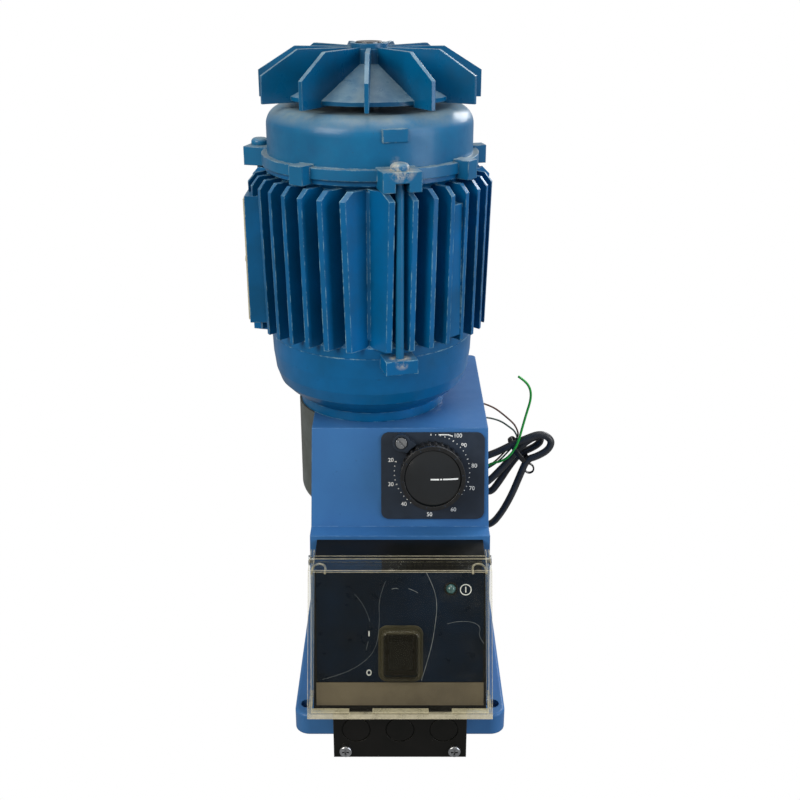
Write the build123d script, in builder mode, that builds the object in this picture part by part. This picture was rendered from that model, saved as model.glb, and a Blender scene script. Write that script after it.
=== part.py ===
from build123d import *
from math import cos, pi, radians, sin, sqrt, tan
import os

# Diaphragm metering pump, millimetres, +Z up. The origin is on the underside of the base, in the
# middle of its four fixing holes. The control side faces -Y, the pump head faces +Y.

# ---- driving dimensions -------------------------------------------------------------------------
base_width, base_length, base_height = 111.0, 176.0, 12.0
base_corner, base_wall, base_rib_pitch = 8.0, 3.0, 35.2
hole_pitch_x, hole_pitch_y, hole_diameter = 98.0, 156.0, 7.0

housing_width, housing_top, housing_wall = 90.0, 158.0, 3.5
housing_rear_y, housing_front_y, draft = 64.0, -68.0, 1.0
panel_tilt, panel_top_y, panel_length = 13.0, -46.2, 51.8

motor_x, motor_y = -15.0, 0.0
flange_radius, flange_height, pilot_radius = 38.6, 5.0, 20.0
frame_bore, frame_wall, frame_rim = 45.0, 3.5, 8.0
frame_radius = frame_bore + frame_rim
frame_bottom, frame_height = 197.4, 87.6
fin_radius, fin_pitch, fin_thickness, fins_per_group = 62.0, 10.0, 2.4, 8
fin_bottom, fin_top, fin_chamfer = 203.0, 281.0, 4.0
rod_circle_radius, rod_radius = 59.5, 2.0
lug_angles = (14.5, -105.5, 134.5)
shield_ring_radius, shield_ring_height, cup_radius, cup_height = 54.6, 5.3, 51.7, 23.0
fan_radius, fan_blades, blade_thickness = 56.0, 11, 2.0
fan_hub_radius, shaft_radius, shaft_top = 9.6, 6.4, 341.0
bearing_radius, bearing_width = 16.0, 10.0

gear_axis_z, gear_module, wheel_teeth, worm_turns = 100.0, 2.0, 22, 6
worm_pitch_radius, wheel_width = 9.0, 7.0
cross_shaft_radius, cross_bearing_radius, cross_bearing_width = 6.0, 12.0, 7.0
stroke, eccentric_radius, eccentric_width = 5.0, 10.0, 10.0
push_rod_x, push_rod_radius = 5.0, 6.0

head_radius, head_depth, head_boss_y = 41.0, 26.0, 68.0
backing_depth, membrane_thickness, membrane_radius, work_radius = 8.0, 2.5, 33.0, 25.0
head_bolt_circle, head_bolts, head_bolt_radius = 37.0, 6, 2.5
valve_radius, valve_length, ball_radius, ball_lift = 10.0, 22.0, 4.0, 2.5

knob_x, knob_drop, knob_radius, knob_height = 16.4, 22.6, 16.3, 17.5
knob_scallops, spindle_radius = 30, 4.0
plate_width, plate_depth, plate_thickness, plate_corner = 53.0, 45.3, 1.2, 4.0
plate_x, plate_drop = 16.8, 24.8
clamp_x, clamp_drop, clamp_head_radius, collar_radius, collar_height = 0.7, 6.9, 2.85, 4.4, 4.2

hood_top_z, hood_front_y, hood_bottom_z = 106.4, -100.0, 32.2
hood_width, hood_wall, hood_roof_depth = 89.0, 1.8, 14.0
hood_gap, hood_face_depth = 0.4, 14.0
hinge_y, hinge_z, hinge_pin_radius, hinge_ear_radius = -81.0, 101.0, 1.5, 5.4
box_wall, film_thickness, film_height = 2.5, 0.5, 57.4
terminal_width, terminal_face_y, terminal_bottom, terminal_top = 67.4, -109.0, 2.0, 27.0
terminal_cover_thickness = 2.5
rocker_x, rocker_drop, boot_width, boot_height = 0.35, 47.6, 20.7, 27.4
rocker_width, rocker_length, rocker_tilt = 12.0, 17.0, 9.0
led_x, led_drop, led_radius = 25.3, 13.9, 2.5

cable_diameter, gland_x, gland_z = 4.5, 34.0, 40.0

seat = 0.05      # radial play of pieces that are pressed or clamped together
running = 0.06   # radial play of a shaft in its bore
gap = 0.3        # free air between two pieces that move apart

# ---- places worked out from the dimensions ------------------------------------------------------
tilt = radians(panel_tilt)
panel_bottom_y = panel_top_y - panel_length * sin(tilt)
panel_bottom_z = housing_top - panel_length * cos(tilt)
panel_normal = (0, -cos(tilt), sin(tilt))
panel = Plane(origin=(0, panel_top_y, housing_top), x_dir=(1, 0, 0), z_dir=panel_normal)


def front_at(z, depth):
    """Y of a plane parallel to the hood's face, depth behind it, at height z."""
    return hood_front_y + depth / cos(tilt) - (hood_top_z - z) * tan(tilt)


def save(builder, name):
    """Names a finished piece and writes it."""
    builder.part.label = name
    export_step(builder.part, f"parts/{name}.step")


os.makedirs("parts", exist_ok=True)
screw_grid = GridLocations(80, 118, 2, 2).locations
screw_places = [Location((0, -1, 0)) * place for place in screw_grid]

# ---- base ---------------------------------------------------------------------------------------
with BuildPart() as base_plate:
    with BuildSketch():
        RectangleRounded(base_width, base_length, base_corner)
    extrude(amount=base_height)
    fillet(base_plate.faces().sort_by(Axis.Z)[-1].edges(), radius=1.6)
    with BuildSketch():
        RectangleRounded(base_width - 2 * base_wall, base_length - 2 * base_wall, base_corner - base_wall)
        with GridLocations(hole_pitch_x, hole_pitch_y, 2, 2):
            Circle(hole_diameter / 2 + base_wall, mode=Mode.SUBTRACT)
        with GridLocations(0, base_rib_pitch, 1, 4):
            Rectangle(base_width, base_wall, mode=Mode.SUBTRACT)
    extrude(amount=base_height - base_wall, mode=Mode.SUBTRACT)
    with Locations((0, 0, base_height)):
        with GridLocations(hole_pitch_x, hole_pitch_y, 2, 2):
            Hole(radius=hole_diameter / 2)
        with Locations(*screw_places):
            Hole(radius=2 + seat)
save(base_plate, "base_plate")

# ---- gear housing -------------------------------------------------------------------------------
housing_base_width = housing_width + 2 * (housing_top - base_height) * tan(radians(draft))
housing_height = housing_top - base_height
hood_base_width = hood_width + 2 * (hood_top_z - base_height) * tan(radians(draft))


def drafted_block(width, front, rear, bottom, height, corner):
    """A block that narrows upwards by the moulding draft; width and rear are those at the bottom."""
    with BuildPart() as block:
        with BuildSketch(Plane.XY.offset(bottom)):
            with Locations((0, (front + rear) / 2)):
                RectangleRounded(width, rear - front, corner)
        extrude(amount=height, taper=draft)
    return block.part


def side_solid(points, width):
    """A side outline in Y and Z, drawn out across the width."""
    with BuildPart() as slab:
        with BuildSketch(Plane.YZ):
            with BuildLine():
                Polyline(*points, close=True)
            make_face()
        extrude(amount=width / 2, both=True)
    return slab.part


housing_outer = drafted_block(
    housing_base_width, housing_front_y - 40, housing_rear_y + 2.5, base_height, housing_height, 6
)
housing_inner = drafted_block(
    housing_base_width - 2 * housing_wall,
    housing_front_y - 40,
    housing_rear_y + 2.5 - housing_wall,
    base_height,
    housing_height - housing_wall,
    3,
)
front_outline = [
    (housing_rear_y + 20, base_height),
    (housing_rear_y + 20, housing_top),
    (panel_top_y, housing_top),
    (panel_bottom_y, panel_bottom_z),
    (housing_front_y, panel_bottom_z),
    (housing_front_y, base_height),
]
inset_x = housing_wall / cos(tilt)
inner_outline = [
    (housing_rear_y + 20, base_height),
    (housing_rear_y + 20, housing_top - housing_wall),
    (panel_top_y + inset_x - housing_wall * tan(tilt), housing_top - housing_wall),
    (panel_bottom_y + inset_x - housing_wall * tan(tilt), panel_bottom_z - housing_wall),
    (housing_front_y + housing_wall, panel_bottom_z - housing_wall),
    (housing_front_y + housing_wall, base_height),
]
side_inner_x = housing_base_width / 2 - housing_wall - (gear_axis_z - base_height) * tan(radians(draft))
cross_bearing_x = side_inner_x - 2 - cross_bearing_width / 2
wheel_pitch_radius = gear_module * wheel_teeth / 2
wheel_y = motor_y - worm_pitch_radius - wheel_pitch_radius
bush_radius = push_rod_radius + 3

with BuildPart() as housing_cavity:
    add(housing_inner)
    add(side_solid(inner_outline, 2 * housing_width), mode=Mode.INTERSECT)

with BuildPart() as gear_housing:
    add(housing_outer)
    add(side_solid(front_outline, 2 * housing_width), mode=Mode.INTERSECT)
    add(housing_cavity.part, mode=Mode.SUBTRACT)
    # seat of the pump head
    with BuildSketch(Plane.XZ.offset(-head_boss_y)):
        with Locations((push_rod_x, gear_axis_z)):
            Circle(head_radius - 7)
    extrude(amount=10)
    # bosses of the cross shaft's bearings
    for side in (-1, 1):
        with BuildSketch(Plane.YZ.offset(side * (cross_bearing_x - cross_bearing_width / 2))):
            with Locations((wheel_y, gear_axis_z)):
                Circle(cross_bearing_radius + housing_wall)
        extrude(amount=side * (cross_bearing_width + 3))
    # boss behind the knob
    with BuildSketch(panel.offset(-housing_wall - 8)):
        with Locations((knob_x, -knob_drop)):
            Circle(spindle_radius + housing_wall)
    extrude(amount=8 + housing_wall / 2)
    # bosses for the screws from the base
    with BuildSketch(Plane.XY.offset(base_height)):
        with Locations(*screw_places):
            Circle(5.5)
    extrude(amount=18)
    # motor pilot
    with BuildSketch(Plane.XY.offset(housing_top)):
        with Locations((motor_x, motor_y)):
            Circle(pilot_radius + seat)
            with PolarLocations(flange_radius - 7, 4, 45):
                Circle(2.5 + seat)
    extrude(amount=-housing_wall - 1, mode=Mode.SUBTRACT)
    for side in (-1, 1):
        with BuildSketch(Plane.YZ.offset(side * (cross_bearing_x - cross_bearing_width / 2 - 1))):
            with Locations((wheel_y, gear_axis_z)):
                Circle(cross_bearing_radius + seat)
        extrude(amount=side * (cross_bearing_width + 1), mode=Mode.SUBTRACT)
    with BuildSketch(Plane.XZ.offset(-head_boss_y)):
        with Locations((push_rod_x, gear_axis_z)):
            Circle(bush_radius + seat)
            with PolarLocations(head_bolt_circle - 8, 4, 45):
                Circle(2)
        with Locations((gland_x, gland_z)):
            Circle(6)
    extrude(amount=12, mode=Mode.SUBTRACT)
    with BuildSketch(panel.offset(2)):
        with Locations((knob_x, -knob_drop)):
            Circle(spindle_radius + running)
        with Locations((clamp_x, -clamp_drop)):
            Circle(1.5 + running)
    extrude(amount=-20, mode=Mode.SUBTRACT)
    with BuildSketch(Plane.XY.offset(base_height)):
        with Locations(*screw_places):
            Circle(2 + seat)
    extrude(amount=14, mode=Mode.SUBTRACT)
save(gear_housing, "gear_housing")

with BuildPart() as side_barrel:
    with BuildSketch(Plane.XY.offset(101)):
        with Locations((motor_x, motor_y)):
            Circle(flange_radius + 1.1)
    extrude(amount=housing_top - 101)
    fillet(side_barrel.edges().filter_by(GeomType.CIRCLE).sort_by(Axis.Z)[0], radius=8)
    with BuildSketch(Plane.XY.offset(101 + housing_wall)):
        with Locations((motor_x, motor_y)):
            Circle(flange_radius + 1.1 - housing_wall)
    extrude(amount=housing_top - 101 - 2 * housing_wall, mode=Mode.SUBTRACT)
    add(housing_outer, mode=Mode.SUBTRACT)
save(side_barrel, "side_barrel")

# ---- control box, its label film, hood and switch -----------------------------------------------
box_top_z, box_rear_top_z = hood_top_z - 2.1, hood_top_z - 1.0
hood_inner_width = hood_base_width - 2 * hood_wall
box_base_width = hood_inner_width - 2 * hood_gap
box_depth = hood_face_depth + film_thickness
face = Plane(
    origin=(0, hood_front_y + hood_face_depth * cos(tilt), hood_top_z - hood_face_depth * sin(tilt)),
    x_dir=(1, 0, 0),
    z_dir=panel_normal,
)
box_outline = [
    (housing_front_y, box_rear_top_z),
    (front_at(box_top_z, box_depth), box_top_z),
    (front_at(terminal_top, box_depth), terminal_top),
    (housing_front_y, terminal_top),
]
box_inner_outline = [
    (housing_front_y + 1, box_top_z - box_wall),
    (front_at(box_top_z - box_wall, box_depth + box_wall), box_top_z - box_wall),
    (front_at(terminal_top + box_wall, box_depth + box_wall), terminal_top + box_wall),
    (housing_front_y + 1, terminal_top + box_wall),
]
terminal_front_y = terminal_face_y + terminal_cover_thickness
terminal_rear_y = -base_length / 2 - gap
terminal_outline = [
    (terminal_front_y, terminal_top),
    (terminal_front_y, terminal_bottom),
    (terminal_rear_y, terminal_bottom),
    (terminal_rear_y, base_height),
    (housing_front_y, base_height),
    (housing_front_y, terminal_top),
]
terminal_inner_outline = [
    (terminal_front_y - 1, terminal_top - box_wall),
    (terminal_front_y - 1, terminal_bottom + box_wall),
    (terminal_rear_y - box_wall, terminal_bottom + box_wall),
    (terminal_rear_y - box_wall, base_height + box_wall),
    (housing_front_y - box_wall, base_height + box_wall),
    (housing_front_y - box_wall, terminal_top - box_wall),
]
rocker_hole_width, rocker_hole_length = rocker_width + 4, rocker_length + 6
ear_inner_x = hood_base_width / 2 - hood_wall - (hinge_z - base_height) * tan(radians(draft))

terminal_screw_places = [(-27.6, 6.5), (27.6, 6.5)]
with BuildPart() as control_box:
    add(drafted_block(box_base_width, -150, housing_front_y + 20, base_height, 110, 4))
    add(side_solid(box_outline, 2 * hood_width), mode=Mode.INTERSECT)
    add(side_solid(terminal_outline, terminal_width))
    add(side_solid(box_inner_outline, hood_width - 4 * box_wall), mode=Mode.SUBTRACT)
    add(side_solid(terminal_inner_outline, terminal_width - 2 * box_wall), mode=Mode.SUBTRACT)
    with BuildSketch(face.offset(1)):
        with Locations((rocker_x, -rocker_drop)):
            Rectangle(rocker_hole_width, rocker_hole_length)
        with Locations((led_x, -led_drop)):
            Circle(led_radius + seat)
    extrude(amount=-box_wall - 3, mode=Mode.SUBTRACT)
    for side in (-1, 1):
        with BuildSketch(Plane.YZ.offset(side * (ear_inner_x + 1))):
            with Locations((hinge_y, hinge_z)):
                Circle(hinge_pin_radius + seat)
        extrude(amount=-side * 7, mode=Mode.SUBTRACT)
    with BuildSketch(Plane.XZ.offset(-terminal_front_y)):
        with Locations(*terminal_screw_places):
            Circle(4)
    extrude(amount=-8)
    with BuildSketch(Plane.XZ.offset(-terminal_front_y)):
        with Locations(*terminal_screw_places):
            Circle(1.5 + seat)
    extrude(amount=-7, mode=Mode.SUBTRACT)
save(control_box, "control_box")

with BuildPart() as label_film:
    with BuildSketch(face):
        with Locations((0, -5.3 - film_height / 2)):
            RectangleRounded(hood_width - 2 * hood_wall - 2 * hood_gap - 1, film_height, 2)
        with Locations((rocker_x, -rocker_drop)):
            Rectangle(rocker_hole_width, rocker_hole_length, mode=Mode.SUBTRACT)
        with Locations((led_x, -led_drop)):
            Circle(led_radius + seat, mode=Mode.SUBTRACT)
    extrude(amount=-film_thickness)
save(label_film, "label_film")

knockout_radius, knockout_pitch, knockout_z = 7.4, 22.1, terminal_top - 7.6
with BuildPart() as terminal_cover:
    with BuildSketch(Plane.XZ.offset(-terminal_face_y)):
        with Locations((0, (terminal_top + terminal_bottom) / 2)):
            Rectangle(terminal_width, terminal_top - terminal_bottom)
    extrude(amount=-terminal_cover_thickness)
    fillet(terminal_cover.faces().sort_by(Axis.Y)[0].edges(), radius=0.8)
    with BuildSketch(Plane.XZ.offset(-terminal_face_y)):
        with Locations((-knockout_pitch, knockout_z), (0, knockout_z), (knockout_pitch, knockout_z)):
            Circle(knockout_radius)
            Circle(knockout_radius - 0.7, mode=Mode.SUBTRACT)
    extrude(amount=-0.7, mode=Mode.SUBTRACT)
    with BuildSketch(Plane.XZ.offset(-terminal_face_y)):
        with Locations(*terminal_screw_places):
            Circle(1.5 + seat)
    extrude(amount=-terminal_cover_thickness, mode=Mode.SUBTRACT)
save(terminal_cover, "terminal_cover")

with BuildPart() as terminal_screws:
    with BuildSketch(Plane.XZ.offset(-terminal_face_y)):
        with Locations(*terminal_screw_places):
            Circle(3.2)
    extrude(amount=1.8)
    fillet(terminal_screws.faces().filter_by(Axis.Y).group_by(Axis.Y)[0].edges(), radius=0.9)
    with BuildSketch(Plane.XZ.offset(-terminal_face_y)):
        with Locations(*terminal_screw_places):
            Circle(1.5)
    extrude(amount=-terminal_cover_thickness - 6)
    with BuildSketch(Plane.XZ.offset(-terminal_face_y + 1.8)):
        with Locations(*terminal_screw_places):
            Rectangle(3.6, 0.9)
            Rectangle(0.9, 3.6)
    extrude(amount=-1.2, mode=Mode.SUBTRACT)
save(terminal_screws, "terminal_screws")

block_room = housing_front_y - terminal_rear_y - 2 * box_wall
block_depth, block_height, block_pitch, block_poles = block_room - 4.3, 8.0, 7.0, 6
with BuildPart() as terminal_block:
    with BuildSketch(Plane.XY.offset(base_height + box_wall)):
        with Locations((0, (housing_front_y + terminal_rear_y) / 2 - 1)):
            Rectangle(block_pitch * block_poles + 2, block_depth)
    extrude(amount=block_height)
    with BuildSketch(Plane.XY.offset(base_height + box_wall + block_height)):
        with Locations((0, (housing_front_y + terminal_rear_y) / 2 - 1)):
            with GridLocations(block_pitch, 1, block_poles, 1):
                Circle(min(2.2, block_depth / 4))
    extrude(amount=-block_height * 0.6, mode=Mode.SUBTRACT)
save(terminal_block, "terminal_block")

# the hood: a drafted shell, open at the back, hung on two ears
hood_outline = [
    (hood_front_y, hood_top_z),
    (hood_front_y + hood_roof_depth, hood_top_z),
    (hinge_y, hood_top_z),
    (hinge_y + hinge_ear_radius, hinge_z),
    (hinge_y + 3.5, hinge_z - 4.5),
    (front_at(94, 19), 94),
    (front_at(hood_bottom_z - 1, 19), hood_bottom_z - 1),
    (front_at(hood_bottom_z - 1.7, 7), hood_bottom_z - 1.7),
    (front_at(hood_bottom_z, 0), hood_bottom_z),
]
roof_rear_y = hood_front_y + hood_roof_depth
hood_inner_outline = [
    (front_at(hood_top_z - hood_wall, hood_wall), hood_top_z - hood_wall),
    (roof_rear_y, hood_top_z - hood_wall),
    (roof_rear_y, hood_top_z + 5),
    (hinge_y + 20, hood_top_z + 5),
    (hinge_y + 20, hood_bottom_z - 9),
    (front_at(hood_bottom_z - 9, 7), hood_bottom_z - 9),
    (front_at(hood_bottom_z + hood_wall - 1, 7), hood_bottom_z + hood_wall - 1),
    (front_at(hood_bottom_z + hood_wall, hood_wall), hood_bottom_z + hood_wall),
]
with BuildPart() as hood_inside:
    add(drafted_block(hood_inner_width, -160, 0, base_height, 110, 1))
    add(side_solid(hood_inner_outline, 2 * hood_width), mode=Mode.INTERSECT)

with BuildPart() as hood:
    add(drafted_block(hood_base_width, -160, 0, base_height, 110, 1))
    add(side_solid(hood_outline, 2 * hood_width), mode=Mode.INTERSECT)
    with BuildSketch(Plane.YZ.offset(-ear_inner_x - hood_wall)):
        with Locations((hinge_y, hinge_z)):
            Circle(hinge_ear_radius)
    extrude(amount=2 * (ear_inner_x + hood_wall))
    add(hood_inside.part, mode=Mode.SUBTRACT)
    with BuildSketch(Plane.YZ.offset(-ear_inner_x - 5)):
        with Locations((hinge_y, hinge_z)):
            Circle(hinge_pin_radius + running)
    extrude(amount=2 * (ear_inner_x + 5), mode=Mode.SUBTRACT)
    with BuildSketch(face.offset(-hood_face_depth)):
        with Locations((-19.5, -76), (20, -76)):
            Rectangle(11.6, 6.4)
    extrude(amount=hood_face_depth + 12, mode=Mode.SUBTRACT)
save(hood, "hood")

with BuildPart() as hood_pins:
    for side in (-1, 1):
        with BuildSketch(Plane.YZ.offset(side * (ear_inner_x - 5.5))):
            with Locations((hinge_y, hinge_z)):
                Circle(hinge_pin_radius)
        extrude(amount=side * (5.5 + hood_wall + gap))
        with BuildSketch(Plane.YZ.offset(side * (ear_inner_x + hood_wall + gap))):
            with Locations((hinge_y, hinge_z)):
                Circle(hinge_pin_radius + 1)
        extrude(amount=side * 0.8)
save(hood_pins, "hood_pins")

body_top = -box_wall - film_thickness
rocker_pivot, pivot_radius, pivot_length = 2.0, 1.2, 14.6
pivot_point = face.from_local_coords((rocker_x, -rocker_drop, -rocker_pivot))
pivot_plane = Plane(origin=pivot_point, x_dir=(0, 1, 0), z_dir=(1, 0, 0))
with BuildPart() as switch_body:
    with BuildSketch(face.offset(body_top)):
        with Locations((rocker_x, -rocker_drop)):
            Rectangle(rocker_hole_width + 3, rocker_hole_length + 3)
    extrude(amount=-12)
    with BuildSketch(face.offset(body_top)):
        with Locations((rocker_x, -rocker_drop)):
            Rectangle(rocker_hole_width - 2 * seat, rocker_hole_length - 2 * seat)
    extrude(amount=-body_top)
    with BuildSketch(face):
        with Locations((rocker_x, -rocker_drop)):
            Rectangle(rocker_width + 2 * gap, rocker_length + 2)
    extrude(amount=-12, mode=Mode.SUBTRACT)
    with BuildSketch(pivot_plane):
        Circle(pivot_radius + running)
    extrude(amount=pivot_length / 2 + gap, both=True, mode=Mode.SUBTRACT)
save(switch_body, "switch_body")

# the rocker stands with its lower end pressed
rocker_plane = Plane(
    origin=pivot_point,
    x_dir=(0, sin(tilt - radians(rocker_tilt)), cos(tilt - radians(rocker_tilt))),
    z_dir=(1, 0, 0),
)
with BuildPart() as rocker:
    with BuildSketch(rocker_plane):
        with BuildLine():
            Polyline(
                (-rocker_length / 2, -1.5),
                (-rocker_length / 2 + 0.6, 4.4),
                (0, 3.0),
                (rocker_length / 2 - 0.6, 4.4),
                (rocker_length / 2, -1.5),
                (3, -4),
                (-3, -4),
                close=True,
            )
        make_face()
    extrude(amount=rocker_width / 2, both=True)
    with BuildSketch(rocker_plane):
        Circle(pivot_radius)
    extrude(amount=pivot_length / 2, both=True)
save(rocker, "rocker")

boot_depth, boot_wall = 5.4, 0.8
with BuildPart() as switch_boot:
    with BuildSketch(face):
        with Locations((rocker_x, -rocker_drop)):
            RectangleRounded(boot_width, boot_height, 4)
    extrude(amount=boot_depth)
    fillet(switch_boot.faces().filter_by(panel).sort_by(Axis.Y)[0].edges(), radius=3)
    offset(amount=-boot_wall, openings=switch_boot.faces().filter_by(panel).sort_by(Axis.Y)[-1])
save(switch_boot, "switch_boot")

with BuildPart() as status_led:
    with BuildSketch(face.offset(-8)):
        with Locations((led_x, -led_drop)):
            Circle(led_radius)
    extrude(amount=8)
    with Locations(face.location * Location((led_x, -led_drop, 0))):
        Sphere(led_radius)
    with BuildSketch(face.offset(-8)):
        with Locations((led_x, -led_drop)):
            Circle(led_radius + 2)
    extrude(amount=8 - box_wall - film_thickness)
save(status_led, "status_led")

with BuildPart() as control_board:
    with BuildSketch(face.offset(-8)):
        with Locations((0, -14)):
            Rectangle(box_base_width - 8 * box_wall, 20)
    extrude(amount=-1.6)
    with BuildSketch(face.offset(-8)):
        with Locations((-22, -14), (-4, -14)):
            Rectangle(12, 10)
    extrude(amount=3)
save(control_board, "control_board")

# ---- stroke setting: plate, locking screw, knob, spindle ----------------------------------------
rim_height, skirt_height, cap_radius, knob_clearance = 3.0, 9.0, 14.3, 0.5
cam_radius, cam_offset, cam_height = 7.0, 2.0, 5.0
spindle_depth = 30.0
knob_centre = (knob_x, -knob_drop)
clamp_centre = (clamp_x, -clamp_drop)
with BuildPart() as scale_plate:
    with BuildSketch(panel):
        with Locations((plate_x, -plate_drop)):
            RectangleRounded(plate_width, plate_depth, plate_corner)
    extrude(amount=plate_thickness)
    with BuildSketch(panel.offset(plate_thickness)):
        with Locations(clamp_centre):
            Circle(collar_radius)
        with BuildLine():
            Polyline(
                (clamp_x + 1.2, -clamp_drop + collar_radius - 0.2),
                (clamp_x + 7.6, -clamp_drop - 0.8),
                (clamp_x + 3.2, -clamp_drop - 5.2),
                (clamp_x - 3.0, -clamp_drop - 3.2),
                close=True,
            )
        make_face()
        with Locations(knob_centre):
            Circle(knob_radius + gap + 0.1, mode=Mode.SUBTRACT)
    extrude(amount=collar_height)
    with BuildSketch(panel):
        with Locations(knob_centre):
            Circle(spindle_radius + 2 * running)
        with Locations(clamp_centre):
            Circle(1.5 + running)
    extrude(amount=20, mode=Mode.SUBTRACT)
    with BuildSketch(panel.offset(plate_thickness + 1.4)):
        with Locations(clamp_centre):
            Circle(clamp_head_radius + gap)
    extrude(amount=10, mode=Mode.SUBTRACT)
save(scale_plate, "scale_plate")

with BuildPart() as clamp_screw:
    with BuildSketch(panel.offset(plate_thickness + 1.4)):
        with Locations(clamp_centre):
            Circle(clamp_head_radius)
    extrude(amount=3.4)
    with BuildSketch(panel.offset(plate_thickness + 4.8)):
        with Locations(clamp_centre):
            Rectangle(2 * clamp_head_radius, 0.9, rotation=-48)
    extrude(amount=-1.2, mode=Mode.SUBTRACT)
    with BuildSketch(panel.offset(plate_thickness + 1.4)):
        with Locations(clamp_centre):
            Circle(1.5)
    extrude(amount=-12)
save(clamp_screw, "clamp_screw")

skirt_bottom = plate_thickness + knob_clearance
with BuildPart() as stroke_knob:
    with BuildSketch(panel.offset(skirt_bottom)):
        with Locations(knob_centre):
            Circle(knob_radius - 0.9)
            with PolarLocations(knob_radius - 0.9, knob_scallops):
                Circle(0.9)
    extrude(amount=skirt_height)
    with BuildSketch(panel.offset(skirt_bottom + skirt_height)):
        with Locations(knob_centre):
            Circle(knob_radius - 1.6)
    extrude(amount=knob_height - skirt_bottom - skirt_height - rim_height)
    with BuildSketch(panel.offset(knob_height - rim_height)):
        with Locations(knob_centre):
            Circle(knob_radius)
    extrude(amount=rim_height)
    with BuildSketch(panel.offset(knob_height - 1.6)):
        with Locations(knob_centre):
            Circle(cap_radius + seat)
    extrude(amount=2, mode=Mode.SUBTRACT)
    with BuildSketch(panel):
        with Locations(knob_centre):
            Circle(spindle_radius + seat)
    extrude(amount=14.1, mode=Mode.SUBTRACT)
save(stroke_knob, "stroke_knob")

cap_rise = 2.4
cap_sphere = (cap_radius ** 2 + cap_rise ** 2) / (2 * cap_rise)
with BuildPart() as knob_cap:
    with BuildSketch(panel.offset(knob_height - 1.6)):
        with Locations(knob_centre):
            Circle(cap_radius)
    extrude(amount=4)
    with Locations(Location(panel) * Location((knob_x, -knob_drop, knob_height - 1.0 + cap_rise - cap_sphere))):
        Sphere(cap_sphere, mode=Mode.INTERSECT)
save(knob_cap, "knob_cap")

with BuildPart() as stroke_spindle:
    with BuildSketch(panel.offset(14)):
        with Locations(knob_centre):
            Circle(spindle_radius)
    extrude(amount=-14 - spindle_depth)
    with BuildSketch(panel.offset(-spindle_depth)):
        with Locations((knob_x + cam_offset, -knob_drop)):
            Circle(cam_radius)
    extrude(amount=cam_height)
save(stroke_spindle, "stroke_spindle")

# ---- drive: motor shaft with worm, wheel, cross shaft, eccentric --------------------------------
worm_lead = pi * gear_module
worm_middle = gear_axis_z - worm_lead / 4
worm_length = worm_lead * worm_turns
worm_root, worm_tip, thread_width = 7.0, 10.8, 2.4
lower_shaft_radius, shaft_bottom, shaft_step_z = 6.0, 74.0, 178.0
rotor_radius, rotor_bottom, rotor_top = 27.5, 211.0, 270.0
wheel_root, wheel_tip, tooth_width = 19.8, 23.8, 2.4
wheel_x = motor_x
cross_plane = Plane(origin=(0, wheel_y, gear_axis_z), x_dir=(0, 1, 0), z_dir=(1, 0, 0))
eccentric_offset = stroke / 2

with BuildPart() as motor_shaft:
    with BuildSketch(Plane.XY.offset(shaft_bottom)):
        with Locations((motor_x, motor_y)):
            Circle(lower_shaft_radius)
    extrude(amount=shaft_step_z - shaft_bottom)
    with BuildSketch(Plane.XY.offset(shaft_step_z)):
        with Locations((motor_x, motor_y)):
            Circle(shaft_radius)
    extrude(amount=shaft_top - shaft_step_z)
    chamfer(motor_shaft.edges().filter_by(GeomType.CIRCLE).sort_by(Axis.Z)[-1], length=0.8)
save(motor_shaft, "motor_shaft")

with BuildPart() as worm_screw:
    Cylinder(worm_root, worm_length + worm_lead)
    with BuildLine() as thread_path:
        Helix(
            pitch=worm_lead,
            height=worm_length,
            radius=worm_root,
            center=(0, 0, -worm_length / 2),
        )
    with BuildSketch(Plane(origin=thread_path.line @ 0, z_dir=thread_path.line % 0, x_dir=(1, 0, 0))):
        with BuildLine():
            Polyline(
                (-0.8, -thread_width / 2 - 0.6),
                (worm_tip - worm_root, -thread_width / 2 + 0.4),
                (worm_tip - worm_root, thread_width / 2 - 0.4),
                (-0.8, thread_width / 2 + 0.6),
                close=True,
            )
        make_face()
    sweep(path=thread_path.line, is_frenet=True)
    Cylinder(lower_shaft_radius + seat, 2 * worm_length, mode=Mode.SUBTRACT)
worm = Part(worm_screw.part.moved(Location((motor_x, motor_y, worm_middle))).wrapped)
worm.label = "worm"
export_step(worm, "parts/worm.step")

with BuildPart() as worm_wheel:
    with BuildSketch(cross_plane.offset(wheel_x)):
        Circle(wheel_root)
        with PolarLocations(0, wheel_teeth, start_angle=180):
            Polygon(
                (wheel_root - 1, -tooth_width / 2 - 0.5),
                (wheel_tip, -tooth_width / 2 + 0.5),
                (wheel_tip, tooth_width / 2 - 0.5),
                (wheel_root - 1, tooth_width / 2 + 0.5),
                align=None,
            )
    extrude(amount=wheel_width / 2, both=True)
    with BuildSketch(cross_plane.offset(wheel_x)):
        Circle(cross_shaft_radius + 4)
    extrude(amount=wheel_width / 2 + 3, both=True)
    with BuildSketch(cross_plane.offset(wheel_x)):
        Circle(cross_shaft_radius + seat)
    extrude(amount=wheel_width, both=True, mode=Mode.SUBTRACT)
save(worm_wheel, "worm_wheel")

with BuildPart() as cross_shaft:
    with BuildSketch(cross_plane):
        Circle(cross_shaft_radius)
    extrude(amount=cross_bearing_x + cross_bearing_width / 2, both=True)
    with BuildSketch(cross_plane.offset(push_rod_x)):
        with Locations((-eccentric_offset, 0)):
            Circle(eccentric_radius)
    extrude(amount=eccentric_width / 2, both=True)
save(cross_shaft, "cross_shaft")

with BuildPart() as cross_bearings:
    for side in (-1, 1):
        with BuildSketch(cross_plane.offset(side * cross_bearing_x)):
            Circle(cross_bearing_radius)
            Circle(cross_shaft_radius + running, mode=Mode.SUBTRACT)
        extrude(amount=cross_bearing_width / 2, both=True)
save(cross_bearings, "cross_bearings")

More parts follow.
